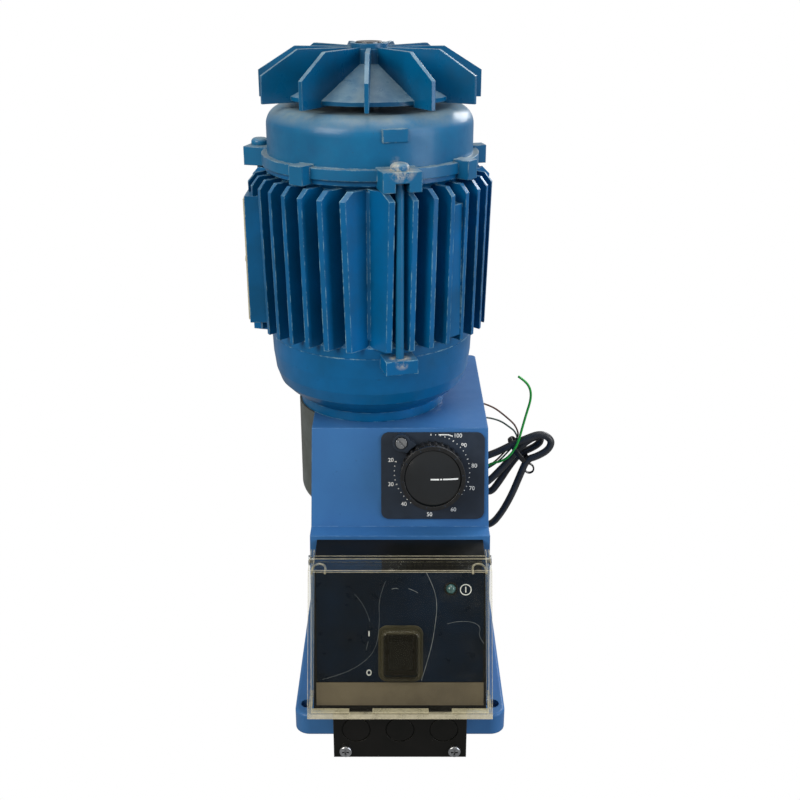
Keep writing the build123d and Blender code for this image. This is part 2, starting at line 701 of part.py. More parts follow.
# ---- push rod with its follower plate, return spring, guide bush, membrane core ------------------
rod_plane = Plane(origin=(push_rod_x, 0, gear_axis_z), x_dir=(1, 0, 0), z_dir=(0, -1, 0))
contact_y = wheel_y + eccentric_offset + eccentric_radius
follower_y = contact_y + gap
follower_thickness, follower_half = 5.0, 12.0
rod_end_y = head_boss_y + 2.5
collar_y, spring_coil_radius, spring_wire, spring_turns = 11.5, 8.2, 1.6, 7
bush_front_y, bush_rear_y = 58.0, head_boss_y - 1
spring_end_y = bush_front_y - 1
core_radius = 14.0
membrane_y = head_boss_y + backing_depth
work_y = membrane_y + membrane_thickness
head_rear_y = head_boss_y + backing_depth + head_depth + 2
valve_axis_y = 92.0
stop_arm_z = 130.0

with BuildPart() as push_rod:
    with BuildSketch(rod_plane.offset(-follower_y)):
        RectangleRounded(2 * follower_half - 6, 2 * follower_half, 2)
        with Locations(((knob_x - push_rod_x) / 2 + 1, (stop_arm_z - gear_axis_z) / 2)):
            Rectangle(8, stop_arm_z - gear_axis_z, rotation=-18)
    extrude(amount=-follower_thickness)
    with BuildSketch(rod_plane.offset(-follower_y)):
        Circle(push_rod_radius)
    extrude(amount=-(rod_end_y - follower_y))
    with BuildSketch(rod_plane.offset(-collar_y)):
        Circle(push_rod_radius + 4)
    extrude(amount=-2.5)
save(push_rod, "push_rod")

with BuildPart() as coil:
    with BuildLine() as coil_path:
        Helix(
            pitch=(spring_end_y - collar_y - 2.5 - spring_wire - 0.2) / spring_turns,
            height=spring_end_y - collar_y - 2.5 - spring_wire - 0.2,
            radius=spring_coil_radius,
        )
    with BuildSketch(Plane(origin=coil_path.line @ 0, z_dir=coil_path.line % 0, x_dir=(1, 0, 0))):
        Circle(spring_wire / 2)
    sweep(path=coil_path.line, is_frenet=True)
spring_start_y = collar_y + 2.5 + spring_wire / 2 + 0.1
spring_place = Plane(origin=(push_rod_x, spring_start_y, gear_axis_z), x_dir=(1, 0, 0), z_dir=(0, 1, 0))
return_spring = Part(coil.part.moved(Location(spring_place)).wrapped)
return_spring.label = "return_spring"
export_step(return_spring, "parts/return_spring.step")

with BuildPart() as guide_bush:
    with BuildSketch(rod_plane.offset(-bush_front_y)):
        Circle(bush_radius)
    extrude(amount=-(bush_rear_y - bush_front_y))
    with BuildSketch(rod_plane.offset(-bush_front_y)):
        Circle(bush_radius + 3)
    extrude(amount=1.0)
    with BuildSketch(rod_plane.offset(-bush_front_y + 2)):
        Circle(push_rod_radius + running)
    extrude(amount=-20, mode=Mode.SUBTRACT)
save(guide_bush, "guide_bush")

with BuildPart() as diaphragm_core:
    with BuildSketch(rod_plane.offset(-rod_end_y)):
        Circle(core_radius)
    extrude(amount=-(membrane_y - rod_end_y))
    with BuildSketch(rod_plane.offset(-membrane_y)):
        Circle(3)
    extrude(amount=-membrane_thickness)
save(diaphragm_core, "diaphragm_core")

with BuildPart() as diaphragm:
    with BuildSketch(rod_plane.offset(-membrane_y)):
        Circle(membrane_radius)
        Circle(3 + seat, mode=Mode.SUBTRACT)
    extrude(amount=-membrane_thickness)
    with BuildSketch(rod_plane.offset(-work_y)):
        Circle(work_radius - 3)
        Circle(work_radius - 6, mode=Mode.SUBTRACT)
    extrude(amount=0.6, mode=Mode.SUBTRACT)
save(diaphragm, "diaphragm")

with BuildPart() as backing_plate:
    with BuildSketch(rod_plane.offset(-head_boss_y)):
        Circle(head_radius)
        Circle(work_radius + 2, mode=Mode.SUBTRACT)
        with PolarLocations(head_bolt_circle, head_bolts):
            Circle(head_bolt_radius + seat, mode=Mode.SUBTRACT)
    extrude(amount=-backing_depth)
    with BuildSketch(rod_plane.offset(-head_boss_y)):
        Circle(work_radius + 4)
        Circle(bush_radius + 1, mode=Mode.SUBTRACT)
        with PolarLocations(head_bolt_circle - 8, 4, 45):
            Circle(2, mode=Mode.SUBTRACT)
    extrude(amount=-1.5)
save(backing_plate, "backing_plate")

with BuildPart() as pump_head:
    with BuildSketch(rod_plane.offset(-membrane_y)):
        Circle(head_radius)
    extrude(amount=-(head_rear_y - membrane_y))
    fillet(pump_head.edges().filter_by(GeomType.CIRCLE).sort_by(Axis.Y)[-1], radius=2.5)
    for end in (-1, 1):
        with BuildSketch(Plane.XY.offset(gear_axis_z + end * 20)):
            with Locations((push_rod_x, valve_axis_y)):
                Circle(valve_radius + 3)
        extrude(amount=end * (head_radius - 13))
    with BuildSketch(rod_plane.offset(-membrane_y)):
        Circle(membrane_radius + seat)
    extrude(amount=-membrane_thickness, mode=Mode.SUBTRACT)
    with BuildSketch(rod_plane.offset(-work_y)):
        Circle(work_radius)
    extrude(amount=-stroke - 1, mode=Mode.SUBTRACT)
    for end in (-1, 1):
        with BuildSketch(Plane.XY.offset(gear_axis_z + end * (head_radius + 7))):
            with Locations((push_rod_x, valve_axis_y)):
                Circle(valve_radius + seat)
        extrude(amount=-end * valve_length, mode=Mode.SUBTRACT)
        with BuildSketch(Plane.XY.offset(gear_axis_z + end * (head_radius + 7))):
            with Locations((push_rod_x, valve_axis_y)):
                Circle(3)
        extrude(amount=-end * (head_radius + 3), mode=Mode.SUBTRACT)
        with BuildSketch(rod_plane.offset(-work_y - 2)):
            with Locations((0, end * 10)):
                Circle(2.4)
        extrude(amount=-(valve_axis_y - work_y - 1.3), mode=Mode.SUBTRACT)
    with BuildSketch(rod_plane.offset(-membrane_y)):
        with PolarLocations(head_bolt_circle, head_bolts):
            Circle(head_bolt_radius + seat)
    extrude(amount=-head_depth - 5, mode=Mode.SUBTRACT)
save(pump_head, "pump_head")

with BuildPart() as head_screws:
    with BuildSketch(rod_plane.offset(-head_boss_y)):
        with PolarLocations(head_bolt_circle, head_bolts):
            Circle(head_bolt_radius)
    extrude(amount=-(head_rear_y - head_boss_y))
    with BuildSketch(rod_plane.offset(-head_rear_y)):
        with PolarLocations(head_bolt_circle, head_bolts):
            Circle(head_bolt_radius + 1.9)
    extrude(amount=-5)
    with BuildSketch(rod_plane.offset(-head_rear_y - 5)):
        with PolarLocations(head_bolt_circle, head_bolts):
            RegularPolygon(2.2, 6)
    extrude(amount=2.6, mode=Mode.SUBTRACT)
save(head_screws, "head_screws")

port_radius, seat_bore_radius, seat_land = 2.5, 2.8, 3.0
ball_rest = sqrt(ball_radius ** 2 - seat_bore_radius ** 2) + 0.02
for end, name in ((-1, "suction"), (1, "discharge")):
    mouth_z = gear_axis_z + end * (head_radius + 7)
    root_z = mouth_z - end * valve_length
    low_z, high_z = min(mouth_z, root_z), max(mouth_z, root_z)
    with BuildPart() as cartridge:
        with BuildSketch(Plane.XY.offset(root_z)):
            with Locations((push_rod_x, valve_axis_y)):
                Circle(valve_radius)
        extrude(amount=end * valve_length)
        with BuildSketch(Plane.XY.offset(mouth_z)):
            with Locations((push_rod_x, valve_axis_y)):
                Circle(valve_radius + 2.5)
        extrude(amount=end * 3)
        with BuildSketch(Plane.XY.offset(mouth_z + end * 3)):
            with Locations((push_rod_x, valve_axis_y)):
                Circle(valve_radius - 1)
        extrude(amount=end * 11)
        with BuildSketch(Plane.XY.offset(root_z - end)):
            with Locations((push_rod_x, valve_axis_y)):
                Circle(port_radius)
        extrude(amount=end * (valve_length + 30), mode=Mode.SUBTRACT)
        with BuildSketch(Plane.XY.offset((low_z + high_z) / 2 - 4)):
            with Locations((push_rod_x, valve_axis_y)):
                Circle(seat_bore_radius)
        extrude(amount=-seat_land, mode=Mode.SUBTRACT)
        with BuildSketch(Plane.XY.offset((low_z + high_z) / 2 - 4)):
            with Locations((push_rod_x, valve_axis_y)):
                Circle(ball_radius + running)
        extrude(amount=ball_rest + ball_radius + ball_lift + gap, mode=Mode.SUBTRACT)
    save(cartridge, f"{name}_valve")
    with BuildPart() as ball:
        with Locations((push_rod_x, valve_axis_y, (low_z + high_z) / 2 - 4 + ball_rest)):
            Sphere(ball_radius)
    save(ball, f"{name}_ball")
    with BuildPart() as union_nut:
        with BuildSketch(Plane.XY.offset(mouth_z + end * 3.2)):
            with Locations((push_rod_x, valve_axis_y)):
                Circle(valve_radius + 3.4)
                with PolarLocations(valve_radius + 3.4, 16):
                    Circle(1)
                Circle(valve_radius - 1 + seat, mode=Mode.SUBTRACT)
        extrude(amount=end * 10.6)
    save(union_nut, f"{name}_union_nut")

# ---- motor --------------------------------------------------------------------------------------
lower_bearing_z, upper_bearing_z = 166.0, 299.0
flange_bottom = housing_top
lug_bottom, lug_top, lug_width, lug_reach = 193.0, 200.0, 16.0, 64.5
ring_bottom = frame_bottom + frame_height
cup_bottom = ring_bottom + shield_ring_height
cup_top = cup_bottom + cup_height
pad_bottom, pad_top = 206.0, 272.0
seal_radius, seal_depth = 12.0, 5.5
motor_axis = Plane(origin=(motor_x, motor_y, 0), x_dir=(1, 0, 0), z_dir=(0, -1, 0))


def lug(width, inner, outer, angle, bottom, height):
    """A block standing off the motor's axis in the direction of the angle, counted from -Y."""
    with BuildPart() as block:
        with Locations(Location((motor_x, motor_y, bottom), (0, 0, angle - 90))):
            Box(outer - inner, width, height, align=(Align.MIN, Align.CENTER, Align.MIN))
    return block.part.moved(
        Location((inner * cos(radians(angle - 90)), inner * sin(radians(angle - 90)), 0))
    )


bowl_bottom = flange_bottom + flange_height
bowl_reach, bowl_rise = frame_radius - flange_radius, frame_bottom - bowl_bottom
bowl_shoulder = [
    (flange_radius + across * bowl_reach, bowl_bottom + up * bowl_rise)
    for across, up in ((0.48, 0.15), (0.74, 0.26), (0.89, 0.44), (0.97, 0.7))
]
with BuildPart() as lower_shield:
    with BuildSketch(motor_axis):
        with BuildLine():
            Polyline(
                (pilot_radius, flange_bottom),
                (flange_radius, flange_bottom),
                (flange_radius, flange_bottom + flange_height),
                (flange_radius + 1.4, flange_bottom + flange_height + 1),
                *bowl_shoulder,
                (frame_radius, frame_bottom),
                (frame_bore + 3, frame_bottom),
                (frame_bore + 3, frame_bottom - 9.4),
                (frame_bore, frame_bottom - 21.4),
                (flange_radius - 1, 169.5),
                (bearing_radius + 3.5, 169.5),
                (bearing_radius + 3.5, lower_bearing_z + bearing_width),
                (bearing_radius + seat, lower_bearing_z + bearing_width),
                (bearing_radius + seat, lower_bearing_z),
                (shaft_radius + 1, lower_bearing_z),
                (shaft_radius + 1, flange_bottom - 3.5 + seal_depth),
                (seal_radius + seat, flange_bottom - 3.5 + seal_depth),
                (seal_radius + seat, flange_bottom - 3.5),
                (pilot_radius, flange_bottom - 3.5),
                close=True,
            )
        make_face()
    revolve(axis=Axis((motor_x, motor_y, 0), (0, 0, 1)))
    for angle in lug_angles:
        add(lug(lug_width, frame_bore + 3, lug_reach, angle, lug_bottom, lug_top - lug_bottom))
    with BuildSketch(Plane.XY.offset(frame_bottom)):
        with Locations((motor_x, motor_y)):
            Circle(frame_radius + seat)
    extrude(amount=10, mode=Mode.SUBTRACT)
    with BuildSketch(Plane.XY.offset(lug_bottom + 1)):
        with Locations((motor_x, motor_y)):
            for angle in lug_angles:
                with Locations(Location((0, 0), angle - 90) * Location((rod_circle_radius, 0))):
                    Circle(rod_radius + seat)
    extrude(amount=10, mode=Mode.SUBTRACT)
    with BuildSketch(Plane.XY.offset(flange_bottom - 1)):
        with Locations((motor_x, motor_y)):
            with PolarLocations(flange_radius - 7, 4, 45):
                Circle(2.5 + seat)
    extrude(amount=40, mode=Mode.SUBTRACT)
save(lower_shield, "lower_shield")

# the stator frame: a tube with four groups of parallel fins, standing on the diagonals
fin_height = fin_top - fin_bottom
tube_radius = frame_bore + frame_wall
strip_width, strip_reach, strip_bottom, strip_top = 9.5, 52.0, 207.0, 280.0

with BuildPart() as fin_field:
    for diagonal in (45, 135, 225, 315):
        with BuildSketch(Plane.XY.offset(fin_bottom)):
            with Locations(Location((motor_x, motor_y), diagonal)):
                with GridLocations(0, fin_pitch, 1, fins_per_group):
                    Rectangle(fin_radius + 2, fin_thickness, align=(Align.MIN, Align.CENTER))
        extrude(amount=fin_height)

with BuildPart() as fin_envelope:
    with BuildSketch(motor_axis):
        with BuildLine():
            Polyline(
                (tube_radius - 1, fin_bottom),
                (fin_radius - 2, fin_bottom),
                (fin_radius, fin_top - fin_chamfer),
                (fin_radius - fin_chamfer, fin_top),
                (tube_radius - 1, fin_top),
                close=True,
            )
        make_face()
    revolve(axis=Axis((motor_x, motor_y, 0), (0, 0, 1)))

with BuildPart() as stator_frame:
    with BuildSketch(motor_axis):
        with BuildLine():
            Polyline(
                (frame_bore, frame_bottom),
                (frame_radius, frame_bottom),
                (frame_radius, fin_bottom),
                (tube_radius, fin_bottom + 3),
                (tube_radius, fin_top - 1),
                (frame_radius, fin_top + 1.5),
                (frame_radius, ring_bottom),
                (frame_bore, ring_bottom),
                close=True,
            )
        make_face()
    revolve(axis=Axis((motor_x, motor_y, 0), (0, 0, 1)))
    add(fin_field.part.intersect(fin_envelope.part))
    for angle in (0, 90, 180, 270):
        add(lug(strip_width, frame_bore + 1, strip_reach, angle, strip_bottom, strip_top - strip_bottom))
    add(lug(fin_pitch - fin_thickness + 1, frame_bore + 1, fin_radius - 2.4, 45, pad_bottom, pad_top - pad_bottom))
    add(lug(47, frame_bore + 1, fin_radius - 0.4, -90, strip_bottom, pad_top - strip_bottom))
    with BuildSketch(Plane.XY.offset(frame_bottom)):
        with Locations((motor_x, motor_y)):
            Circle(frame_bore)
            for angle in lug_angles:
                with Locations(Location((0, 0), angle - 90) * Location((rod_circle_radius, 0))):
                    Circle(rod_radius + 1)
    extrude(amount=frame_height, mode=Mode.SUBTRACT)
save(stator_frame, "stator_frame")

nameplate_x, nameplate_z = motor_x - fin_radius + 0.4, (pad_top + strip_bottom) / 2
with BuildPart() as nameplate:
    with Locations((nameplate_x, motor_y, nameplate_z)):
        Box(0.8, 45, pad_top - strip_bottom - 3, align=(Align.MAX, Align.CENTER, Align.CENTER))
    with BuildSketch(Plane.YZ.offset(nameplate_x - 0.8)):
        with Locations((motor_y - 19, nameplate_z), (motor_y + 19, nameplate_z)):
            Circle(1.4)
    extrude(amount=-0.6)
save(nameplate, "nameplate")

core_bottom, core_top, stator_inner_radius = 213.0, 268.0, 28.0
with BuildPart() as stator_core:
    with BuildSketch(Plane.XY.offset(core_bottom)):
        with Locations((motor_x, motor_y)):
            Circle(frame_bore - seat)
            Circle(stator_inner_radius, mode=Mode.SUBTRACT)
            with PolarLocations(stator_inner_radius + 6, 24):
                Rectangle(9, 3.4, mode=Mode.SUBTRACT)
    extrude(amount=core_top - core_bottom)
save(stator_core, "stator_core")

with BuildPart() as stator_windings:
    for bottom in (core_bottom - 11, core_top):
        with BuildSketch(Plane.XY.offset(bottom)):
            with Locations((motor_x, motor_y)):
                Circle(frame_bore - 3)
                Circle(stator_inner_radius + 2, mode=Mode.SUBTRACT)
        extrude(amount=11)
    fillet(stator_windings.edges().filter_by(GeomType.CIRCLE).group_by(Axis.Z)[-1], radius=3)
    fillet(stator_windings.edges().filter_by(GeomType.CIRCLE).group_by(Axis.Z)[0], radius=3)
save(stator_windings, "stator_windings")

with BuildPart() as rotor_core:
    with BuildSketch(Plane.XY.offset(rotor_bottom)):
        with Locations((motor_x, motor_y)):
            Circle(rotor_radius)
            Circle(shaft_radius + seat, mode=Mode.SUBTRACT)
    extrude(amount=rotor_top - rotor_bottom)
    for bottom, rise in ((rotor_bottom, -1), (rotor_top, 1)):
        with BuildSketch(Plane.XY.offset(bottom)):
            with Locations((motor_x, motor_y)):
                Circle(rotor_radius - 1)
                Circle(rotor_radius - 9, mode=Mode.SUBTRACT)
        extrude(amount=rise * 5)
        with BuildSketch(Plane.XY.offset(bottom)):
            with Locations((motor_x, motor_y)):
                with PolarLocations(rotor_radius - 5, 11):
                    Rectangle(6, 1.6)
        extrude(amount=rise * 9)
save(rotor_core, "rotor_core")

for bottom, inner, name in (
    (lower_bearing_z, lower_shaft_radius, "lower_bearing"),
    (upper_bearing_z, shaft_radius, "upper_bearing"),
):
    with BuildPart() as bearing:
        with BuildSketch(Plane.XY.offset(bottom)):
            with Locations((motor_x, motor_y)):
                Circle(bearing_radius)
                Circle(inner + running, mode=Mode.SUBTRACT)
        extrude(amount=bearing_width)
        for side_z in (bottom, bottom + bearing_width - 0.6):
            with BuildSketch(Plane.XY.offset(side_z)):
                with Locations((motor_x, motor_y)):
                    Circle(bearing_radius - 3)
                    Circle(inner + 3, mode=Mode.SUBTRACT)
            extrude(amount=0.6, mode=Mode.SUBTRACT)
    save(bearing, name)

with BuildPart() as shaft_seal:
    with BuildSketch(Plane.XY.offset(flange_bottom - 3.5)):
        with Locations((motor_x, motor_y)):
            Circle(seal_radius)
            Circle(lower_shaft_radius + running, mode=Mode.SUBTRACT)
    extrude(amount=seal_depth)
save(shaft_seal, "shaft_seal")

upper_lug_bottom, upper_lug_top, upper_lug_width, upper_lug_reach = 281.6, 291.0, 18.5, 65.0
shoulder = 9.0
with BuildPart() as upper_shield:
    with BuildSketch(motor_axis):
        with BuildLine():
            Polyline(
                (frame_bore, ring_bottom),
                (shield_ring_radius, ring_bottom),
                (shield_ring_radius, cup_bottom),
                (cup_radius, cup_bottom),
                (cup_radius, cup_top),
                (shaft_radius + 1, cup_top),
                (shaft_radius + 1, upper_bearing_z + bearing_width),
                (bearing_radius + seat, upper_bearing_z + bearing_width),
                (bearing_radius + seat, upper_bearing_z),
                (bearing_radius + 4, upper_bearing_z),
                (bearing_radius + 4, cup_top - 4),
                (cup_radius - 10, cup_top - 4),
                (cup_radius - 4, cup_top - 10),
                (cup_radius - 4, cup_bottom),
                (frame_bore, ring_bottom + 2),
                close=True,
            )
        make_face()
    revolve(axis=Axis((motor_x, motor_y, 0), (0, 0, 1)))
    outer_rim = upper_shield.edges().filter_by(GeomType.CIRCLE).group_by(Axis.Z)[-1]
    fillet(outer_rim.sort_by(SortBy.LENGTH)[-1], radius=shoulder)
    for angle in lug_angles:
        add(
            lug(
                upper_lug_width, cup_radius - 1, upper_lug_reach, angle,
                upper_lug_bottom, upper_lug_top - upper_lug_bottom,
            )
        )
    for angle in (-34, 56, 104, -164):
        add(lug(8, cup_radius - 1, rod_circle_radius + 0.5, angle, ring_bottom - 2.6, 9))
    add(lug(12, frame_bore - 1, cup_radius + 0.5, lug_angles[0], cup_top - 11, 6))
    with BuildSketch(Plane.XY.offset(ring_bottom)):
        with Locations((motor_x, motor_y)):
            Circle(frame_radius + seat)
    extrude(amount=-5, mode=Mode.SUBTRACT)
    for angle in lug_angles:
        add(
            lug(6.5, frame_radius - 1, upper_lug_reach + 1, angle, upper_lug_bottom - 1, 5.2),
            mode=Mode.SUBTRACT,
        )
    with BuildSketch(Plane.XY.offset(upper_lug_bottom)):
        with Locations((motor_x, motor_y)):
            for angle in lug_angles:
                with Locations(Location((0, 0), angle - 90) * Location((rod_circle_radius, 0))):
                    Circle(rod_radius + seat)
    extrude(amount=10, mode=Mode.SUBTRACT)
save(upper_shield, "upper_shield")

with BuildPart() as tie_rods:
    with BuildSketch(Plane.XY.offset(lug_bottom + 1)):
        with Locations((motor_x, motor_y)):
            for angle in lug_angles:
                with Locations(Location((0, 0), angle - 90) * Location((rod_circle_radius, 0))):
                    Circle(rod_radius)
    extrude(amount=upper_lug_top - lug_bottom - 1)
    with BuildSketch(Plane.XY.offset(upper_lug_top)):
        with Locations((motor_x, motor_y)):
            for angle in lug_angles:
                with Locations(Location((0, 0), angle - 90) * Location((rod_circle_radius, 0))):
                    Circle(4.5)
    extrude(amount=3.4)
    fillet(tie_rods.faces().group_by(Axis.Z)[-1].edges(), radius=2.2)
save(tie_rods, "tie_rods")

# ---- fan ----------------------------------------------------------------------------------------
fan_bottom, cone_rim_radius, cone_top, blade_top_radius = 316.0, 41.5, 333.0, 37.3
with BuildPart() as fan:
    with BuildSketch(motor_axis):
        with BuildLine():
            Polyline(
                (fan_hub_radius - 1, fan_bottom),
                (cone_rim_radius, fan_bottom + 1),
                (cone_rim_radius, fan_bottom + 3),
                (fan_hub_radius, cone_top),
                (fan_hub_radius, shaft_top - 1),
                (shaft_radius + seat, shaft_top - 1),
                (shaft_radius + seat, fan_bottom),
                close=True,
            )
        make_face()
    revolve(axis=Axis((motor_x, motor_y, 0), (0, 0, 1)))
    for blade in range(fan_blades):
        turn = radians(-90 + 360 * blade / fan_blades)
        blade_plane = Plane(
            origin=(motor_x, motor_y, 0), x_dir=(cos(turn), sin(turn), 0), z_dir=(sin(turn), -cos(turn), 0)
        )
        with BuildSketch(blade_plane):
            with BuildLine():
                Polyline(
                    (fan_hub_radius - 1, fan_bottom),
                    (fan_radius, fan_bottom),
                    (fan_radius, fan_bottom + 13),
                    (blade_top_radius, shaft_top - 0.5),
                    (fan_hub_radius - 1, shaft_top - 0.5),
                    close=True,
                )
            make_face()
        extrude(amount=blade_thickness / 2, both=True)
save(fan, "fan")

# ---- screws that hold the housings together -----------------------------------------------------
with BuildPart() as motor_screws:
    with BuildSketch(Plane.XY.offset(flange_bottom - 9)):
        with Locations((motor_x, motor_y)):
            with PolarLocations(flange_radius - 7, 4, 45):
                Circle(2.5)
    extrude(amount=9 + 11.5)
    with BuildSketch(Plane.XY.offset(169.5)):
        with Locations((motor_x, motor_y)):
            with PolarLocations(flange_radius - 7, 4, 45):
                Circle(4.2)
    extrude(amount=4)
save(motor_screws, "motor_screws")

with BuildPart() as housing_screws:
    with BuildSketch(Plane.XY.offset(base_height - base_wall)):
        with Locations(*screw_places):
            Circle(3.6)
    extrude(amount=-2.4)
    with BuildSketch(Plane.XY.offset(base_height - base_wall)):
        with Locations(*screw_places):
            Circle(2)
    extrude(amount=base_wall + 12)
save(housing_screws, "housing_screws")

# ---- signal cable: gland, lone run, folded hank and tie -------------------------------------------
cable_radius = cable_diameter / 2
gland_y = housing_rear_y - 6.5
route = [
    (gland_x, gland_y, gland_z),
    (gland_x, 86, gland_z),
    (42, 97, 33),
    (53, 93, 27),
    (60, 82, 33),
    (66, 75, 46),
    (71.5, 72, 60),
    (76, 71, 74),
    (80, 70.5, 86),
]
route_length = 0.0
for i in range(len(route) - 1):
    route_length += (Vector(*route[i + 1]) - Vector(*route[i])).length
bend_radii = []
for i in range(1, len(route) - 1):
    before = Vector(*route[i]) - Vector(*route[i - 1])
    after = Vector(*route[i + 1]) - Vector(*route[i])
    half_turn = radians(before.get_angle(after)) / 2
    bend_radii.append(0.45 * min(before.length, after.length) / tan(half_turn))

with BuildPart() as cable_gland:
    with BuildSketch(rod_plane.offset(-gland_y)):
        with Locations((gland_x - push_rod_x, gland_z - gear_axis_z)):
            Circle(6 - seat)
            Circle(cable_radius + seat, mode=Mode.SUBTRACT)
    extrude(amount=-16)
    with BuildSketch(rod_plane.offset(-housing_rear_y - 2.3)):
        with Locations((gland_x - push_rod_x, gland_z - gear_axis_z)):
            RegularPolygon(8.6, 6)
            Circle(cable_radius + seat, mode=Mode.SUBTRACT)
    extrude(amount=-5)
save(cable_gland, "cable_gland")

with BuildPart() as signal_cable:
    with BuildLine() as cable_path:
        FilletPolyline(*route, radius=bend_radii)
    with BuildSketch(Plane(origin=route[0], z_dir=(0, 1, 0))):
        Circle(cable_radius)
    sweep(path=cable_path.line)
save(signal_cable, "signal_cable")
tube_expected = pi * cable_radius ** 2 * sum(edge.length for edge in cable_path.line.edges())
print("cable volume", round(signal_cable.part.volume), "of", round(tube_expected), signal_cable.part.is_valid)

# The folds lie flat against each other: tight at the loop's end, fanned out at the other.
hank_plane = Plane(origin=(70, 76, 84), x_dir=(0.79, -0.1, 0.6), z_dir=(0.12, 0.99, 0))
hank_depth, hank_round = 14.0, 4.0
tie_place, tie_upper, tie_lower = 8.0, -11.4, 8.5
hank_outline = [
    (-19, -14.5),
    (24, -9.5),
    (31, -4.5),
    (32.5, 3.5),
    (25, 9.5),
    (tie_place, tie_lower),
    (-29, 19),
    (-33, 6),
]
with BuildPart() as signal_cable_hank:
    with BuildSketch(hank_plane.offset(-hank_depth / 2)):
        with BuildLine():
            Polyline(hank_outline, close=True)
        make_face()
    extrude(amount=hank_depth)
    fillet(signal_cable_hank.faces().filter_by(hank_plane).edges(), radius=hank_round)
    add(signal_cable.part, mode=Mode.SUBTRACT)
save(signal_cable_hank, "signal_cable_hank")

tie_thickness, tie_width, tail_radius, tie_slack = 1.4, 3.6, 4.0, 0.6
tie_plane = Plane(
    origin=hank_plane.from_local_coords((tie_place, 0, 0)), x_dir=hank_plane.y_dir, z_dir=hank_plane.x_dir
)
tie_reach = (tie_lower - tie_upper) / 2 + tie_thickness + tie_slack
with BuildPart() as cable_tie:
    with BuildSketch(tie_plane.offset(-tie_width / 2)):
        with Locations(((tie_lower + tie_upper) / 2, 0)):
            Rectangle(2 * tie_reach, hank_depth + 2 * tie_thickness)
        with Locations((tie_lower + tail_radius + tie_slack, 0)):
            Circle(tail_radius)
            Circle(tail_radius - tie_thickness, mode=Mode.SUBTRACT)
    extrude(amount=tie_width)
    add(signal_cable_hank.part, mode=Mode.SUBTRACT)
    add(signal_cable.part, mode=Mode.SUBTRACT)
save(cable_tie, "cable_tie")
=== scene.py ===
# %% [markdown]
# # Diaphragm metering pump
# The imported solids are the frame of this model: a cast gear housing, an upright ribbed motor, a control
# box under a clear hood and a pump head behind. They load finished, so a learner starts with their
# materials and then adds what solids don't carry: printing, scratches, the cable's folds and its cores.
# Blender works in metres, while the sizes below are in millimetres, so each is multiplied by MM.

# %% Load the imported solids
from functools import partial
from math import atan2, cos, pi, radians, sin, sqrt

import bpy
from mathutils import Matrix, Vector


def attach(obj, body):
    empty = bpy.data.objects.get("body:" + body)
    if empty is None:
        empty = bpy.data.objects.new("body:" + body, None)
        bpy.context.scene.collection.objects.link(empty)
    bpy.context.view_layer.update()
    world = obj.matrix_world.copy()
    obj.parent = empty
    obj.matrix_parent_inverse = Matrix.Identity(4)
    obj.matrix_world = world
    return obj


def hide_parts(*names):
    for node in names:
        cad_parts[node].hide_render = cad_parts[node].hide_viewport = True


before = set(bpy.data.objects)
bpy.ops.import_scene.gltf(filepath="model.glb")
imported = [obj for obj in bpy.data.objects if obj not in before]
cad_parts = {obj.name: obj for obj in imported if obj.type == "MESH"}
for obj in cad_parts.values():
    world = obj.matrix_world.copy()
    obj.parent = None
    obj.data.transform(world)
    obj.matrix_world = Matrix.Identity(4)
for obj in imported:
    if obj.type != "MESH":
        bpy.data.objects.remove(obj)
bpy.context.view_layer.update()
MM = 0.001

# %% [markdown]
# ## Camera
# The pump is looked at from the control side and from a little above, near enough for the motor's top
# to spread. A long lens would flatten that, so the lens is a normal one and stands close.

# %% Place the camera
camera_data = bpy.data.cameras.new("camera")
camera_data.sensor_width = 36.0
camera_data.lens = 36.0 * 1119 / 800
camera_data.clip_start = 0.01
camera = bpy.data.objects.new("camera", camera_data)
bpy.context.collection.objects.link(camera)
camera.location = (0.0, -0.570, 0.385)
camera.rotation_euler = (radians(68), 0, 0)
bpy.context.scene.camera = camera
print("camera", [round(value, 3) for value in camera.location])

# %% [markdown]
# ## How the materials are made
# A material is a small net of nodes. One function adds any node with its settings and links. Every
# pattern reads Object coordinates, so it stays on its piece when the piece moves.

# %% Add a node, read a colour, start a material
def add_node(tree, kind, inputs=None, **settings):
    """Adds a node with its settings, and links or fills its inputs."""
    node = tree.nodes.new(kind)
    for key, value in settings.items():
        setattr(node, key, value)
    for key, value in (inputs or {}).items():
        if isinstance(value, bpy.types.NodeSocket):
            tree.links.new(value, node.inputs[key])
        else:
            node.inputs[key].default_value = value
    return node


def linear(code):
    """An sRGB hex colour as linear red, green, blue and alpha."""
    values = [int(code[i:i + 2], 16) / 255 for i in (0, 2, 4)]
    return tuple(v / 12.92 if v <= 0.04045 else ((v + 0.055) / 1.055) ** 2.4 for v in values) + (1.0,)


def new_material(name):
    """An empty material, the way to add its nodes, and its Object coordinates."""
    material = bpy.data.materials.new(name)
    material.use_nodes = True
    material.node_tree.nodes.clear()
    add = partial(add_node, material.node_tree)
    return material, add, add("ShaderNodeTexCoord").outputs["Object"]


def patches(add, where, size_mm, low, high, start=0.0, end=1.0, detail=3.0, roughness=0.55):
    """Irregular patches about size_mm across, carried from low..high to start..end."""
    noise = add(
        "ShaderNodeTexNoise",
        {"Vector": where, "Scale": 1.0 / (size_mm * MM), "Detail": detail, "Roughness": roughness},
    ).outputs["Fac"]
    return add(
        "ShaderNodeMapRange",
        {"Value": noise, "From Min": low, "From Max": high, "To Min": start, "To Max": end},
    ).outputs["Result"]


print("mid grey 808080 is", round(linear("808080")[0], 3), "in linear light")

